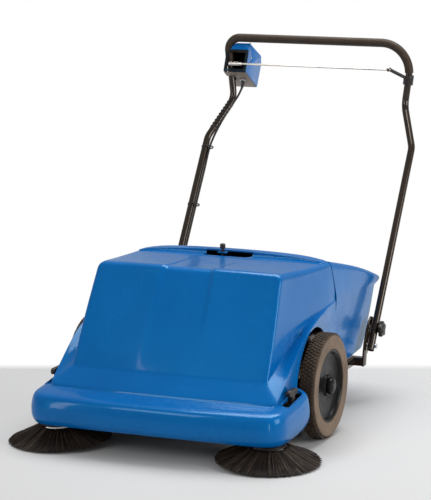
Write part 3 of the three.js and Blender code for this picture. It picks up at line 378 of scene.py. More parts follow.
def boolean(o, verts, faces, op="DIFFERENCE"):
    me = bpy.data.meshes.new("tool")
    me.from_pydata([tuple(v) for v in verts], [], faces)
    bm = bmesh.new()
    bm.from_mesh(me)
    bmesh.ops.remove_doubles(bm, verts=bm.verts, dist=1e-7)
    bmesh.ops.recalc_face_normals(bm, faces=bm.faces)
    bm.to_mesh(me)
    bm.free()
    t = bpy.data.objects.new("tool", me)
    scene.collection.objects.link(t)
    b = o.modifiers.new("cut", "BOOLEAN")
    b.object = t
    b.operation = op
    b.solver = "MANIFOLD"
    bake(o)
    bpy.data.objects.remove(t)


# ---------------------------------------------------------------- lofted shells
def row_points(row, side_t, corner_n, front_x):
    side = [np.array(p, float) for p in row["side"] + [row["corner"]]]
    at = [0.0]
    for a, b in zip(side, side[1:]):
        at.append(at[-1] + np.linalg.norm(b - a))
    total = at[-1]

    def on_side(dist):
        i = 1
        while i < len(at) - 1 and at[i] < dist:
            i += 1
        return side[i - 1] + (side[i] - side[i - 1]) * (dist - at[i - 1]) / (at[i] - at[i - 1])

    c, m = side[-1], np.array(row["middle"], float)

    def on_front(x):
        u = x / c[0]
        return np.array([x, m[1] + (c[1] - m[1]) * u * u, m[2] + (c[2] - m[2]) * u * u])

    r = row["r"]
    start, end = on_side(total - r), on_front(c[0] - r)
    right = [on_side(t * (total - r)) for t in side_t]
    for k in range(1, corner_n + 1):
        t = k / (corner_n + 1)
        right.append((1 - t) ** 2 * start + 2 * t * (1 - t) * c + t * t * end)
    for x in front_x:
        right.append(on_front(c[0] - r if x >= 1 else x * (c[0] - r)))
    left = [np.array([-p[0], p[1], p[2]]) for p in reversed(right[:-1])]
    return right + left


def lid_over(last, side_t, crown, tweak=lambda x, y, t: 0.0):
    ns, n = len(side_t) - 1, len(last)
    front = last[ns : n - ns]
    m = len(front) - 1
    grid = []
    for i in range(ns):
        R, L, t = last[i], last[n - 1 - i], side_t[i]
        line = []
        for j, p in enumerate(front):
            if j == 0:
                line.append(R)
            elif j == m:
                line.append(L)
            else:
                u = (p[0] - front[m][0]) / (front[0][0] - front[m][0])
                w = (2 * u - 1) ** 2
                x, y = L[0] + (R[0] - L[0]) * u, R[1] + (p[1] - front[0][1]) * t
                line.append(np.array([x, y, R[2] + crown(t) * (1 - w) + tweak(x, y, t)]))
        grid.append(line)
    grid.append(front)
    return grid


def grid_object(name, rows, grids, creases, mat):
    """rows of points and extra grids welded into one open quad surface; creases: [(points, weight)]"""
    verts, faces = [], []

    def add_grid(g):
        k, w = len(verts), len(g[0])
        for line in g:
            verts.extend(M(*p) for p in line)
        for i in range(len(g) - 1):
            for j in range(w - 1):
                faces.append((k + i * w + j, k + i * w + j + 1, k + (i + 1) * w + j + 1, k + (i + 1) * w + j))

    add_grid(rows)
    for g in grids:
        add_grid(g)
    me = bpy.data.meshes.new(name)
    me.from_pydata([tuple(v) for v in verts], [], faces)
    bm = bmesh.new()
    bm.from_mesh(me)
    bmesh.ops.remove_doubles(bm, verts=bm.verts, dist=2e-5)
    bmesh.ops.recalc_face_normals(bm, faces=bm.faces)
    layer = bm.edges.layers.float.new("crease_edge")
    key = lambda v: (round(v[0] * 1e4), round(v[1] * 1e4), round(v[2] * 1e4))
    for e in bm.edges:
        if len(e.link_faces) == 1:
            e[layer] = 1.0
    index = {}
    for v in bm.verts:
        index.setdefault(key(v.co), v)

    def find(p):
        q = M(*p)
        k = key(q)
        for dx in (0, -1, 1):
            for dy in (0, -1, 1):
                for dz in (0, -1, 1):
                    v = index.get((k[0] + dx, k[1] + dy, k[2] + dz))
                    if v:
                        return v

    for pts, weight in creases:
        vs = [find(p) for p in pts]
        for a, b in zip(vs, vs[1:]):
            e = bm.edges.get((a, b)) if a and b and a is not b else None
            if e:
                e[layer] = max(e[layer], weight)
    bm.to_mesh(me)
    bm.free()
    me.materials.append(mat)
    o = bpy.data.objects.new(name, me)
    scene.collection.objects.link(o)
    return o


H = [
    dict(side=[[316, 205, 165], [322, 60, 165], [340, -80, 125], [370, -140, 78], [372, -250, 69]], corner=[370, -402, 65], middle=[0, -434, 73], r=62),
    dict(side=[[318, 205, 170], [324, 60, 170], [345, -80, 135], [379, -142, 92], [380, -250, 83]], corner=[379, -412, 79], middle=[0, -445, 86], r=62),
    dict(side=[[319, 205, 175], [325, 60, 175], [347, -80, 142], [381, -142, 122], [382, -250, 114]], corner=[381, -412, 112], middle=[0, -445, 116], r=62),
    dict(side=[[319, 205, 180], [326, 60, 180], [346, -80, 165], [377, -142, 162], [377, -250, 152]], corner=[376, -406, 143], middle=[0, -440, 147], r=58),
    dict(side=[[319, 205, 184], [327, 60, 184], [343, -80, 182], [366, -142, 176], [366, -250, 163]], corner=[365, -394, 153], middle=[0, -428, 156], r=50),
    dict(side=[[319, 205, 188], [327, 60, 188], [338, -80, 188], [340, -140, 185], [339.5, -240, 172]], corner=[338, -336, 161], middle=[0, -352, 162], r=18),
    dict(side=[[317.5, 205, 350.5], [319, 154, 346.5], [328, 33, 335], [333, -31, 322], [337, -81, 311], [340, -138, 298], [340, -195, 262], [340, -285, 198]], corner=[337.5, -333, 167], middle=[0, -349, 168], r=16),
    dict(side=[[316, 205, 354], [316, 142, 349.5], [310, 49, 339], [306, -14, 322], [300, -137, 277], [296, -231, 234]], corner=[293.5, -284, 212], middle=[0, -297, 214], r=12),
    dict(side=[[302, 205, 452], [297, 100, 455], [290, 0, 459], [283, -80, 464]], corner=[280, -146, 468], middle=[0, -151, 470], r=12),
    dict(side=[[300, 205, 458], [294.5, 100, 462.5], [287, 0, 468], [279.5, -80, 475]], corner=[276, -140, 480], middle=[0, -145, 483], r=13),
    dict(side=[[293, 205, 461.5], [287.5, 100, 466.5], [280, 0, 473], [271, -80, 480]], corner=[266, -128, 485], middle=[0, -132, 489.5], r=14),
]
ST = [0, 0.055, 0.06, 0.1, 0.105, 0.22, 0.34, 0.46, 0.58, 0.7, 0.82, 0.93, 1]
FX = [1, 0.85, 0.68, 0.5, 0.36, 0.3, 0.265, 0.16, 0.07, 0]


def build_hood():
    base = [row_points(r, ST, 4, FX) for r in H]

    def between(a, b, t, out=0.0):
        res = []
        for p, q in zip(a, b):
            v = p + (q - p) * t
            v[0] *= 1 + out / 300
            res.append(v)
        return res

    rows = [base[0]]
    for k in range(1, len(base)):
        a, b = base[k - 1], base[k]
        if k in (6,):
            rows.append(between(a, b, 0.5))
        if k == 7:
            rows.append(between(a, b, 0.5))
        if k == 8:
            for t, o in ((0.04, 0.2), (0.3, 2.2), (0.6, 2.2), (0.93, 0.3)):
                rows.append(between(a, b, t, o))
        rows.append(b)
    n = len(rows[0])
    c = (n - 1) // 2
    top = len(rows) - 1
    for k, row in enumerate(rows):
        dep = {top: 6, top - 1: 6, top - 2: 6, top - 3: 5.6, top - 4: 3.2, top - 5: 1.0}.get(k, 0)
        for j, p in enumerate(row):
            if abs(j - c) <= 3:
                p[1] += dep * 0.9
                if k >= top - 1:
                    p[2] -= dep * 0.7
    last = rows[-1]

    def tweak(x, y, t):
        if t < 0.102:
            return (14.0 if t < 0.058 else 12.5) * (1 - min(1.0, abs(x) / 300) ** 8)
        w = min(1.0, (x / 290) ** 2)
        return (8.5 - 4 * t) * (w - w**3) - (4.2 * max(0.0, (t - 0.35) / 0.65) if abs(x) < 76 else 0.0)

    lid = lid_over(last, ST, lambda t: 8.5 - 4 * t, tweak)
    i5 = next(i for i, r in enumerate(rows) if r is base[5])
    i6 = next(i for i, r in enumerate(rows) if r is base[6])
    i7 = next(i for i, r in enumerate(rows) if r is base[7])
    i8 = next(i for i, r in enumerate(rows) if r is base[8])
    creases = [(rows[i5], 0.75), (rows[i6], 0.8), (rows[i7], 0.8), (rows[i8], 0.5)]
    for j in (c - 4, c - 3, c + 3, c + 4):
        creases.append(([r[j] for r in rows[i8 - 2 :]], 0.7))
        creases.append(([g[j - (len(ST) - 1)] for g in lid], 0.7))
    for i in (3, 4):
        creases.append((lid[i], 0.6))
    # the fairing's pillars keep their corner
    o = grid_object("hood_cover", rows, [lid], creases, BLUE)
    s = o.modifiers.new("sub", "SUBSURF")
    s.levels = s.render_levels = 2
    s.boundary_smooth = "PRESERVE_CORNERS"
    s.uv_smooth = "NONE"
    so = o.modifiers.new("wall", "SOLIDIFY")
    so.thickness = 0.004
    so.offset = -1
    so.use_even_offset = False
    bake(o)
    for sx in (1, -1):
        boolean(o, *merge_closed_cylinder(M(sx * 362, -12, 150), (1, 0, 0), 165, 57, 72))
        boolean(o, *block(min(sx * 305, sx * 420), max(sx * 305, sx * 420), 0, 240, 100, 166))
        pts = []
        for i in range(9):
            a = math.pi * i / 8
            pts.append((sx * 355 + 9.5 * math.cos(a), -255 + 51.5 + 9.5 * math.sin(a)))
        for i in range(9):
            a = math.pi * i / 8
            pts.append((sx * 355 - 9.5 * math.cos(a), -255 - 51.5 - 9.5 * math.sin(a)))
        boolean(o, *prism_z(pts, 130, 220))
    boolean(o, *prism_z([(-73, 176), (73, 176), (73, 152), (60, 136), (-73, 136)], 440, 520))
    smooth(o.data, 30)
    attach(o, "hood")
    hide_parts("hood_shell")
    return o


def merge_closed_cylinder(at, axis, r, half, seg):
    v, f = lathe([(r, -half), (r, half)], at, axis, seg, closed=False)
    f = list(f)
    f.append(tuple(2 * i for i in range(seg)))
    f.append(tuple(2 * i + 1 for i in reversed(range(seg))))
    return v, f


build_hood()
# parts moulded on the hood: ears for the hinge bolts, the latch's tongue, a stiffening rib round the lever slots
ear_parts = []
for sx in (1, -1):
    for e in (194 - 19, 194 + 19):
        prof = [(-430.5, 78), (-430.5, 98), (-412, 98), (-409, 95), (-409, 80), (-414, 76), (-427, 74.5)]
        ear_parts.append(prism([(y, z) for y, z in prof], sx * e - 3, sx * e + 3))
ears = piece("hood_ears", *merge(*ear_parts), BLUE, "hood", slot="blue_cover")
bevel(ears, 0.0015)
tongue = piece("latch_tongue", *prism_z([(-36, 165.5), (-34, 163.5), (-10, 163.5), (-8, 165.5), (-8, 181), (-36, 181)], 473.8, 477.8), BLUE, "hood", slot="blue_cover")
bevel(tongue, 0.001)
# slot collars
for sx, side in ((1, "right"), (-1, "left")):
    ring = []
    for k in range(40):
        a = 2 * math.pi * k / 40
        cx, cy = 11.2 * math.cos(a), 11.2 * math.sin(a) + (51.5 if math.sin(a) >= 0 else -51.5)
        y = -255 + cy
        z = 163 + (y + 250) * (176 - 163) / 108.0
        x = sx * 355 + cx
        edge_x = abs(x)
        z += 0.5 if edge_x < 366 else 0.0
        zz = z + (366 - edge_x) / 26.0 * 9.4 + 0.6
        ring.append(M(x, y, zz))
    ring.append(ring[0])
    v, f = sweep(ring, 0.0016, 8, cap=False)
    piece("slot_collar_" + side, v, f, BLUE, "hood", slot="blue_cover")

HP = [
    dict(side=[[296, 209, 141], [297, 388, 141]], corner=[299, 512, 151], middle=[0, 518, 151], r=22),
    dict(side=[[301, 209, 158], [302, 400, 158]], corner=[303, 524, 166], middle=[0, 530, 166], r=24),
    dict(side=[[314, 209, 262], [312, 410, 255]], corner=[310, 562, 255], middle=[0, 568, 255], r=26),
    dict(side=[[319.5, 209, 358], [318, 400, 344]], corner=[314, 590, 332], middle=[0, 596, 332], r=28),
    dict(side=[[316, 209, 384], [319, 400, 366]], corner=[320, 619, 338.5], middle=[0, 626, 338.5], r=30),
    dict(side=[[302, 209, 456], [315, 400, 410]], corner=[321, 621, 346], middle=[0, 628, 346], r=30),
    dict(side=[[293, 209, 464], [307, 400, 418]], corner=[315, 615, 353], middle=[0, 621, 353], r=26),
]
HT = [0, 0.02, 0.2, 0.4, 0.6, 0.8, 1]
HX = [1, 0.75, 0.5, 0.25, 0]


def build_hopper():
    rows = [row_points(r, HT, 4, HX) for r in HP]
    lid = lid_over(rows[-1], HT, lambda t: 13 - 9 * t)
    floor_grid = lid_over(rows[0], HT, lambda t: 0.0)
    creases = [(rows[0], 0.6), (rows[3], 0.8), (rows[5], 0.35)]
    o = grid_object("hopper_body", rows, [lid, floor_grid], creases, BLUE)
    s = o.modifiers.new("sub", "SUBSURF")
    s.levels = s.render_levels = 2
    s.boundary_smooth = "PRESERVE_CORNERS"
    so = o.modifiers.new("wall", "SOLIDIFY")
    so.thickness = 0.004
    so.offset = -1
    bake(o)
    smooth(o.data, 30)
    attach(o, "hopper")
    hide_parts("hopper_tub")


build_hopper()


# ---------------------------------------------------------------- wheels
def build_wheel(sx, side):
    at = M(0, 0, 150)
    ax = (sx, 0, 0)
    prof = [(104.6, 334.5), (108, 333.2), (118, 332.6), (126, 333.2), (128, 332.6), (136, 332.2), (142, 333.2), (145.3, 336), (146, 340),
            (146, 372), (145.3, 376), (142, 378.8), (136, 379.8), (128, 379.5), (126, 378.9), (118, 379.4), (108, 378.8), (104.6, 377.5)]
    tv, tf_ = lathe(prof, at, ax, 96)
    n = len(prof)
    ids = []
    for i in range(96):
        for k in range(n):
            ids.append(1 if 6 <= k <= 10 else 0)
    # tread blocks: four staggered rows
    blocks = []
    count = 84
    for row in range(4):
        x0 = 337.5 + row * 9.6
        x1 = x0 + 7.8
        for i in range(count):
            a0 = 2 * math.pi * (i + 0.5 * (row % 2)) / count
            a1 = a0 + 2 * math.pi / count * 0.62
            v, f = [], []
            for r in (145.6, 149.7):
                for a, x in ((a0, x0), (a1, x0), (a1, x1), (a0, x1)):
                    s = 0.35 if r > 147 else 0
                    xx = x + (s if x == x0 else -s)
                    v.append(at + Vector((sx * xx / 1000, math.cos(a) * r / 1000, math.sin(a) * r / 1000)))
            f = [(3, 2, 1, 0), (4, 5, 6, 7), (0, 1, 5, 4), (1, 2, 6, 5), (2, 3, 7, 6), (3, 0, 4, 7)]
            blocks.append((v, f))
    bv, bfc = merge((tv, tf_), *blocks)
    ids += [1] * (len(bfc) - len(tf_))
    piece("tyre_tread_" + side, bv, bfc, [TYRE, TREAD], "wheel_" + side, replaces=("tyre_" + side,), slot="tyre_rubber", mat_ids=ids, angle=30)
    disc = [(10.5, 333), (25, 333), (27, 346), (92, 349), (97, 340), (103.2, 337.5), (103.9, 341), (103.9, 373), (102.6, 376), (99, 376.6), (96.5, 374.5), (93, 366),
            (86, 362.5), (60, 361.5), (34, 361.8), (30, 363.5), (28.5, 368), (26.5, 370.6), (10.5, 370.8)]
    piece("wheel_dish_" + side, *lathe(disc, at, ax, 72), DISC, "wheel_" + side, replaces=("wheel_disc_" + side,), slot="black_plastic", angle=38)
    cap = [(0.01, 385.7), (9.8, 385.7), (10.5, 385), (10.5, 371.9), (23, 371.9), (23.8, 373), (23.8, 379), (22, 383.5), (17, 387), (14, 387.4), (13, 388.6), (8, 388.9), (0.01, 388.9)]
    piece("hub_cover_" + side, *lathe(cap, at, ax, 40, closed=False), DISC, "wheel_" + side, replaces=("hub_cap_" + side,), slot="black_plastic", angle=30)


for sx, side in ((1, "right"), (-1, "left")):
    build_wheel(sx, side)


# ---------------------------------------------------------------- brushes
def filament(points, r0, r1, sides=3):
    radii = [r0 + (r1 - r0) * i / (len(points) - 1) for i in range(len(points))]
    return sweep(points, 0, sides, cap=False, radii=radii)


def build_side_brush(sx, side):
    axis = Vector((0.042 * sx, -0.042, 1)).normalized()
    at = M(sx * 313, -324, 9.4)
    u = axis.orthogonal().normalized()
    w = axis.cross(u)
    body = "side_brush_" + side
    # dark heart of the bristle ring, just under the filaments, fluted by tufts
    seg = 192
    prof = [(42, 29), (46, 39), (60, 40), (81, 28.5), (112, 14.5), (141, 2.6), (140, 0.9), (60, 25)]
    v, f = lathe(prof, at, axis, seg)
    n = len(prof)
    for i in range(seg):
        t = 0.5 + 0.5 * math.cos(2 * math.pi * i / seg * 48)
        for k in (2, 3, 4):
            v[i * n + k] -= axis * (0.0032 * (1 - t))
        for k in (5, 6):
            out = (v[i * n + k] - at) - axis * (v[i * n + k] - at).dot(axis)
            v[i * n + k] -= out.normalized() * (0.005 * (1 - t))
    piece("side_bristle_heart_" + side, v, f, BRISTLE, body, replaces=("side_brush_bristles_" + side,), slot="bristle", angle=60)
    dark, light = [], []
    for tuft in range(48):
        ta = 2 * math.pi * tuft / 48
        for i in range(34):
            a = ta + rng.gauss(0, 0.028)
            spread = rng.gauss(0, 0.02)
            lift = rng.uniform(0, 1)
            ln = rng.uniform(139.5, 147.8) - abs(a - ta) * 55
            pts = []
            for r, h in ((58, 30 + 11.8 * lift), (81, 20 + 10.5 * lift), (112, 9 + 7.6 * lift), (ln, 0.8 + 1.5 * lift)):
                aa = a + spread * (r - 58) / 90
                pts.append(at + (u * math.cos(aa) + w * math.sin(aa)) * (r / 1000) + axis * (h / 1000))
            (light if rng.random() < 0.22 else dark).append(filament(pts, 0.00115, 0.0007))
    piece("side_bristles_dark_" + side, *merge(*dark), BRISTLE, body, slot="bristle", angle=180, fix=False)
    piece("side_bristles_light_" + side, *merge(*light), BRISTLE_LIGHT, body, slot="bristle", angle=180, fix=False)
    plate = [(8.6, 43.3), (12, 43.3), (46, 43.3), (49.4, 44), (49.9, 45.4), (49.4, 48.2), (47, 49), (30, 50.6), (27, 52), (24.6, 56), (23.8, 61.6), (22.6, 62.3), (8.6, 62.3)]
    piece("side_plate_" + side, *lathe(plate, at, axis, 56), BLACK, body, replaces=("side_brush_plate_" + side,), slot="black_plastic", angle=32)
    arm = "side_arm_" + side
    motor = [(0.01, 70.8), (31, 70.8), (31.8, 71.8), (31.8, 80), (31, 81), (31, 112), (31.8, 113), (31.8, 121), (30, 124.5), (26.5, 126.6), (0.01, 126.8)]
    shaft = lathe([(0.01, 45), (7.2, 45), (7.9, 46), (7.9, 71), (0.01, 71)], at, axis, 24, closed=False)
    piece("gear_motor_" + side, *merge(lathe(motor, at, axis, 48, closed=False), shaft), ALLOY, arm, replaces=("side_brush_motor_" + side,), slot="motor_alloy", angle=32)


for sx, side in ((1, "right"), (-1, "left")):
    build_side_brush(sx, side)


def build_main_brush():
    at = M(0, 62, 126.5)
    core = [(0.01, -308.8), (10, -308.8), (11, -307.8), (11, -267), (43.5, -266), (45, -264), (45, 264), (43.5, 266), (11, 267), (11, 307.8), (10, 308.8), (0.01, 308.8)]
    piece("roller_core", *lathe(core, at, (1, 0, 0), 56, closed=False), GREY, "main_brush", replaces=("main_brush_core",), slot="core_grey", angle=32)
    strips = []
    for k in range(10):
        for i in range(88):
            x = -262 + 524 * i / 87
            base = 2 * math.pi * k / 10 + abs(x) / 262 * 0.55
            for q in range(4):
                a = base + rng.gauss(0, 0.035)
                x1 = x + rng.uniform(-2.6, 2.6)
                x2 = max(-263.5, min(263.5, x1 + rng.uniform(-3, 3)))
                b = a + rng.gauss(0, 0.02)
                ln = rng.uniform(122.4, 125.3)
                pts = [at + Vector((x1, math.cos(a) * 44.6, math.sin(a) * 44.6)) / 1000,
                       at + Vector(((x1 + x2) / 2, math.cos((a + b) / 2) * 88, math.sin((a + b) / 2) * 88)) / 1000,
                       at + Vector((x2, math.cos(b) * ln, math.sin(b) * ln)) / 1000]
                strips.append(filament(pts, 0.0011, 0.0007))
    piece("roller_bristles", *merge(*strips), BRISTLE, "main_brush", replaces=("main_brush_bristles",), slot="bristle", angle=180, fix=False)
    for name, c, r, x0, x1, bore, body, spokes in (("roller_pulley", at, 55, 277.2, 292.8, 11.5, "main_brush", True), ("drive_pulley", M(0, -130, 205), 27.5, 275.2, 292.8, 7.5, "motor_rotor", False)):
        f = r + 2.4
        p = [(bore, x0), (bore + 8, x0), (bore + 8, 279.2), (f, 279.2), (f, 280), (r, 280.6)]
        for i in range(5):
            xx = 281 + i * 2.2
            p += [(r, xx), (r - 1.4, xx + 0.7), (r - 1.4, xx + 1.2), (r, xx + 1.9)]
        p += [(r, 291.8), (f, 292), (f, 292.8), (bore, 292.8)]
        piece(name, *lathe(p, c, (1, 0, 0), 56), ALLOY, body, replaces=("main_brush_pulley" if spokes else "motor_pulley",), slot="motor_alloy", angle=30)


build_main_brush()

# ---------------------------------------------------------------- caster wheel
at = M(0, 405, 40)
cw = [(4.6, -12.8), (12.5, -12.8), (13, -9.5), (27, -9.5), (29, -11), (34, -11.3), (37, -10.4), (39.4, -7.5), (40, -4), (40, 4), (39.4, 7.5), (37, 10.4), (34, 11.3), (29, 11), (27, 9.5), (13, 9.5), (12.5, 12.8), (4.6, 12.8)]
cv, cf = lathe(cw, at, (1, 0, 0), 56)
ids = []
for i in range(56):
    for k in range(len(cw)):
        ids.append(1 if k <= 3 or k >= 14 else 0)
piece("caster_tyre", cv, cf, [RUBBER, GREY], "caster_roller", replaces=("caster_wheel",), slot="tyre_rubber", mat_ids=ids, angle=32)


# ---------------------------------------------------------------- handle
def rounded(points, radii, step=0.09):
    out = [points[0].copy()]
    for i in range(1, len(points) - 1):
        p = points[i]
        a = (points[i - 1] - p).normalized()
        b = (points[i + 1] - p).normalized()
        turn = math.pi - a.angle(b)
        r = radii[i - 1]
        dist = r * math.tan(turn / 2)
        p0 = p + a * dist
        n = max(2, math.ceil(turn / step))
        centre = p + (a + b).normalized() * (r / math.cos(turn / 2))
        axis = (-a).cross(b).normalized()
        arm = p0 - centre
        for k in range(n + 1):
            out.append(centre + Matrix.Rotation(turn * k / n, 3, axis) @ arm)
    out.append(points[-1].copy())
    return out


POST = [Vector(p) for p in ((-343, 451.5, 155.5), (-343, 833, 720), (-289, 925, 838), (-313, 930, 1032.7), (313, 930, 1032.7), (289, 925, 838), (343, 833, 720), (343, 451.5, 155.5))]
route = rounded(POST, [70, 60, 38, 92, 60, 70])


def stretch(z0, z1, sx):
    p = route[: len(route) // 2 + 1] if sx < 0 else list(reversed(route))[: len(route) // 2 + 1]

    def at_z(z):
        i = next(k for k, q in enumerate(p) if q.z > z)
        a, b = p[i - 1], p[i]
        return a.lerp(b, (z - a.z) / (b.z - a.z))

    return [at_z(z0)] + [q for q in p if z0 + 1 < q.z < z1 - 1] + [at_z(z1)]


mm = lambda pts: [M(*p) for p in pts]


def hollow(points, r, inner, sides=28):
    a = sweep(points, r, sides, cap=False)
    b = sweep(points, inner, sides, cap=False)
    va, fa = a
    vb, fb = b
    k = len(va)
    faces = list(fa) + [tuple(reversed([i + k for i in q])) for q in fb]
    last = (len(points) - 1) * sides
    for s in range(sides):
        t = (s + 1) % sides
        faces.append((t, s, s + k, t + k))
        faces.append((last + s, last + t, last + t + k, last + s + k))
    return list(va) + list(vb), faces


piece("handle_bar", *hollow(mm(route), 0.011, 0.0094), PAINT, "handle", replaces=("handle_tube",), slot="black_paint", angle=50)
over = [p for p in route if p.z > 944]
grip_line = [stretch(942, 960, -1)[0]] + over + [stretch(942, 960, 1)[0]]
gp = mm(grip_line)
piece("grip_foam", *hollow(gp, 0.0135, 0.0114), GRIP, "handle", replaces=("grip_sleeve",), slot="grip", angle=50)

# spiral wrap and cable
wrap = stretch(742, 826, -1)
wm = mm(wrap)
acc = [0]
for a, b in zip(wm, wm[1:]):
    acc.append(acc[-1] + (b - a).length)
helix = []
turns = acc[-1] / 0.0125
for i in range(int(turns * 20)):
    s = acc[-1] * i / (turns * 20)
    k = max(j for j in range(len(acc)) if acc[j] <= s)
    k = min(k, len(wm) - 2)
    t = (s - acc[k]) / (acc[k + 1] - acc[k])
    c = wm[k].lerp(wm[k + 1], t)
    d = (wm[k + 1] - wm[k]).normalized()
    n = (Vector((1, 0, 0)) - d * d.x).normalized()
    b = d.cross(n)
    a = 2 * math.pi * i / 20
    helix.append(c + (n * math.cos(a) + b * math.sin(a)) * 0.0119)
v, f = sweep(helix, 0.0011, 8)
hv = []
piece("spiral_wrap", v, f, BLACK, "handle", replaces=("post_spiral_sleeve",), slot="black_plastic", angle=60)


def cat(points, per=8):
    pts = [Vector(p) for p in points]
    pts = [pts[0] * 2 - pts[1]] + pts + [pts[-1] * 2 - pts[-2]]
    out = []
    for i in range(1, len(pts) - 2):
        p0, p1, p2, p3 = pts[i - 1 : i + 3]
        t = [0.0]
        for a, b in ((p0, p1), (p1, p2), (p2, p3)):
            t.append(t[-1] + max((b - a).length, 1e-6) ** 0.5)
        for k in range(per):
            s = t[1] + (t[2] - t[1]) * k / per
            A1 = p0 * ((t[1] - s) / (t[1] - t[0])) + p1 * ((s - t[0]) / (t[1] - t[0]))
            A2 = p1 * ((t[2] - s) / (t[2] - t[1])) + p2 * ((s - t[1]) / (t[2] - t[1]))
            A3 = p2 * ((t[3] - s) / (t[3] - t[2])) + p3 * ((s - t[2]) / (t[3] - t[2]))
            B1 = A1 * ((t[2] - s) / (t[2] - t[0])) + A2 * ((s - t[0]) / (t[2] - t[0]))
            B2 = A2 * ((t[3] - s) / (t[3] - t[1])) + A3 * ((s - t[1]) / (t[3] - t[1]))
            out.append(B1 * ((t[2] - s) / (t[2] - t[1])) + B2 * ((s - t[1]) / (t[2] - t[1])))
    out.append(pts[-2])
    return out


def beside(z, off):
    t = (z - 155.5) / (720 - 155.5)
    return (-343 + off, 451.5 + (833 - 451.5) * t, z)


cable_pts = [(-262, 935, 926), (-262, 935, 884), (-268, 922, 856), (-280, 892, 822), (-302, 852, 770), beside(700, 16.6), beside(620, 15.6), beside(258, 15.6)]
piece("cable", *sweep(mm(cat(cable_pts)), 0.0034, 12), CABLE, "handle", replaces=("handle_cable",), slot="black_plastic", angle=60)
# strain relief and ferrule where the cable leaves the box
line = mm(cat(cable_pts, 12))
g = [p for p in line if 0.868 < p.z < 0.8945]
piece("cable_gland", *sweep(g, 0, 16, radii=[0.0062 - 0.0022 * k / (len(g) - 1) for k in range(len(g))]), RUBBER, "handle", slot="black_plastic", angle=50)
nrm = Vector((0, -0.5007, -0.8656))
fc = M(-262, 935, 901.2) + nrm * 0.0036
piece("cable_ferrule", *lathe([(4.2, 0), (8.6, 0), (9.0, 0.5), (9.0, 3.2), (8.2, 4.4), (6.4, 5.2), (5.0, 5.2)], fc, nrm, 32), STEEL, "handle", slot="zinc_steel", angle=32)
# cross-head screw in the box's side
sc = M(-234.9, 938, 968)
piece("box_screw", *lathe([(0.01, -0.1), (4.1, -0.1), (4.1, 0.6), (3.2, 1.5), (1.6, 1.9), (0.01, 1.95)], sc, (1, 0, 0), 28, closed=False), STEEL, "handle", slot="zinc_steel", angle=32)

# ties that hold the cable to the post
for i, z in enumerate((690, 520, 340)):
    c = M(*beside(z, 7.6))
    d = Vector((0, 833 - 451.5, 720 - 155.5)).normalized()
    n = Vector((1, 0, 0))
    b = d.cross(n)
    ring = []
    for k in range(33):
        a = 2 * math.pi * k / 32
        rx = 0.0196
        ring.append(c + n * (math.cos(a) * rx) + b * (math.sin(a) * (0.0116 - 0.002 * max(0, math.cos(a)))))
    tie_v, tie_f = [], []
    for p, (o1, o2) in [(p, (0, 0)) for p in ring[:-1]]:
        tie_v += [p - d * 0.0022, p + d * 0.0022, p + d * 0.0022 + (p - c).normalized() * 0.0009, p - d * 0.0022 + (p - c).normalized() * 0.0009]
    m_ = len(ring) - 1
    for k in range(m_):
        l = (k + 1) % m_
        for q in range(4):
            r_ = (q + 1) % 4
            tie_f.append((k * 4 + q, k * 4 + r_, l * 4 + r_, l * 4 + q))
    piece(f"cable_tie_{i}", tie_v, tie_f, BLACK, "handle", slot="black_plastic")

# star knobs
for sx, side in ((1, "right"), (-1, "left")):
    c = M(0, 491, 214)
    seg = 80
    lob = []
    for i in range(seg):
        a = 2 * math.pi * i / seg
        lob.append((a, 22.0 + 2.9 * math.cos(5 * a)))
    verts, faces = [], []
    prof = [(0.80, 359.6), (0.95, 359.6), (1.0, 361), (1.0, 369), (0.95, 370.6), (0.86, 371), (0.55, 370.4), (0.48, 372.4), (0.44, 373), (0.02, 373)]
    for a, r in lob:
        for s, x in prof:
            rr = r * s if s > 0.6 else 24 * s
            verts.append(c + Vector((sx * x / 1000, math.sin(a) * rr / 1000, math.cos(a) * rr / 1000)))
    n = len(prof)
    for i in range(seg):
        j = (i + 1) % seg
        for k in range(n - 1):
            faces.append((i * n + k, i * n + k + 1, j * n + k + 1, j * n + k))
    faces.append(tuple(i * n for i in range(seg)))
    faces.append(tuple(i * n + n - 1 for i in reversed(range(seg))))
    hub = lathe([(4.3, 354.8), (12, 354.8), (13, 355.6), (13.6, 360.5), (4.3, 360.5)], c, (sx, 0, 0), 40)
    stud = lathe([(0.01, 322), (3.4, 322), (4, 322.8), (4, 360), (0.01, 360)], c, (sx, 0, 0), 24, closed=False)
    nut = lathe([(4.1, 320.6), (6.6, 320.6), (7.3, 321.4), (7.3, 325.2), (6.6, 325.9), (4.1, 325.9)], c, (sx, 0, 0), 6)
    k = piece("star_grip_" + side, *merge((verts, faces), hub), BLACK, "star_" + side, replaces=("star_knob_" + side,), slot="black_plastic", angle=32)
    piece("star_stud_" + side, *merge(stud, nut), STEEL, "star_" + side, slot="zinc_steel", angle=32)

# switch bar
c = M(0, 880, 954)
bar = lathe([(0.01, -289), (5.2, -289), (6, -288.2), (6, -245.6), (5.2, -244.8), (3.3, -244.6), (3.25, -240), (3.25, 242.5), (0.01, 242.5)], c, (1, 0, 0), 32, closed=False)
eye = lathe([(2.95, -3.3), (5.4, -3.3), (6, -2.7), (6, 2.7), (5.4, 3.3), (2.95, 3.3)], M(249, 880, 954), (0, 1, 0), 32)
tongue = block(-274, -266, 884, 905.8, 951.4, 956.6)
sb = piece("switch_bar", *merge(bar, eye, tongue), CHROME, "bail", replaces=("bail_rod",), slot="chrome_bar", angle=32)
# grooves of the silver collar
gr = []
for x in (-279, -268, -257):
    gr.append(lathe([(6.02, x - 0.9), (6.28, x - 0.6), (6.28, x + 0.6), (6.02, x + 0.9)], c, (1, 0, 0), 32))
piece("switch_bar_rings", *merge(*gr), STEEL, "bail", slot="chrome_bar", angle=32)

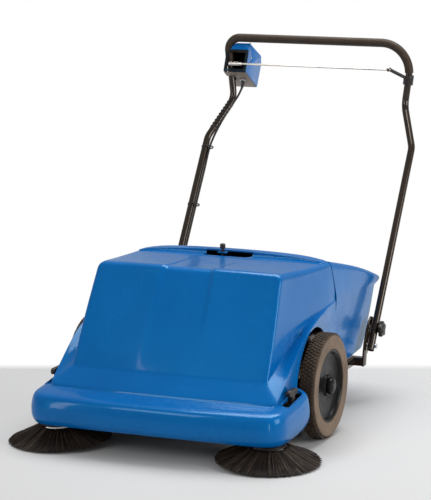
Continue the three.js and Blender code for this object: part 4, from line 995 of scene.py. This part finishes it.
# latch knob
c = M(-22, 172, 0)
prof = [(3.5, 470), (3.5, 486.6), (6.8, 486.9), (8.1, 488.3), (8.2, 498), (7.6, 500.6), (5.4, 501.8), (0.01, 502)]
kv, kf = lathe(prof, c, (0, 0, 1), 40, closed=False)
n = len(prof)
for i in range(40):
    g_ = 0.0005 * (i % 4 == 0)
    for k in (4, 5):
        out = Vector((kv[i * n + k].x - c.x, kv[i * n + k].y - c.y, 0)).normalized()
        kv[i * n + k] -= out * g_
shank = block(-24.5, -19.5, 168.2, 175.8, 452.2, 471)
piece("latch_knob", *merge((kv, kf), shank), BLACK, "latch", replaces=("hood_latch_knob",), slot="black_plastic", angle=40)

# ---------------------------------------------------------------- CAD nodes kept, with finer edges and materials
LOOK = {
    "chassis_frame": PAINT, "rear_cross_tube": PAINT, "battery_tray": PAINT, "hood_latch_bracket": PAINT,
    "brush_housing": SHEET, "dirt_ramp": SHEET, "front_dirt_flap": RUBBER, "drive_belt": RUBBER, "battery": BATTERY, "drive_motor": ALLOY,
    "caster_plate": STEEL, "caster_fork": STEEL, "caster_axle": STEEL, "hopper_grip": BLACK,
    "control_box_cover": BLUE, "control_box_base": TAUPE, "control_panel": BLACK, "key_switch": STEEL, "bail_pivot_arm": BLACK,
}
for s in ("right", "left"):
    LOOK.update({"handle_bracket_" + s: PAINT, "handle_pivot_bolt_" + s: STEEL, "wheel_axle_" + s: STEEL, "hood_hinge_bolt_" + s: STEEL,
                 "main_brush_bearing_" + s: STEEL, "side_brush_arm_" + s: PAINT, "side_brush_lever_" + s: BLACK})
EDGE_W = {"control_box_cover": 0.0022, "control_box_base": 0.0008, "battery": 0.0025, "side_brush_lever_right": 0.0018, "side_brush_lever_left": 0.0018, "hopper_grip": 0.001,
          "front_dirt_flap": 0.0005, "dirt_ramp": 0.0005, "brush_housing": 0.0005}
for name, m in LOOK.items():
    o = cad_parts[name]
    o.data.materials.clear()
    o.data.materials.append(m)
    o.data.polygons.foreach_set("material_index", [0] * len(o.data.polygons))
    o.data.polygons.foreach_set("use_smooth", [True] * len(o.data.polygons))
    wd = o.modifiers.new("weld", "WELD")
    wd.merge_threshold = 2e-5
    b = bevel(o, EDGE_W.get(name, 0.0007), 2, 34)
    b.harden_normals = True

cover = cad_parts["control_box_cover"]
cover.data.materials.clear()
cover.data.materials.append(BOX_BLUE_PAINTED_SHADE)
cover.data.materials.append(BLACK)
# faces on the outer sides and the outer outline keep the blue material; all other faces, the box's inside, get black as
# painted shade for its shadowed inside
outline = [(925, 1016), (1025, 966.6), (1025, 938), (989, 870), (887, 929)]
for f in cover.data.polygons:
    c = f.center * 1000
    y, z = c.y - SY * 1000, c.z
    outer = abs(c.x + 311) < 0.4 or abs(c.x + 234) < 0.4
    for (ya, za), (yb, zb) in zip(outline, outline[1:] + outline[:1]):
        l = math.hypot(yb - ya, zb - za)
        if abs((yb - ya) * (z - za) - (zb - za) * (y - ya)) / l < 0.4:
            outer = True
    f.material_index = 0 if outer else 1
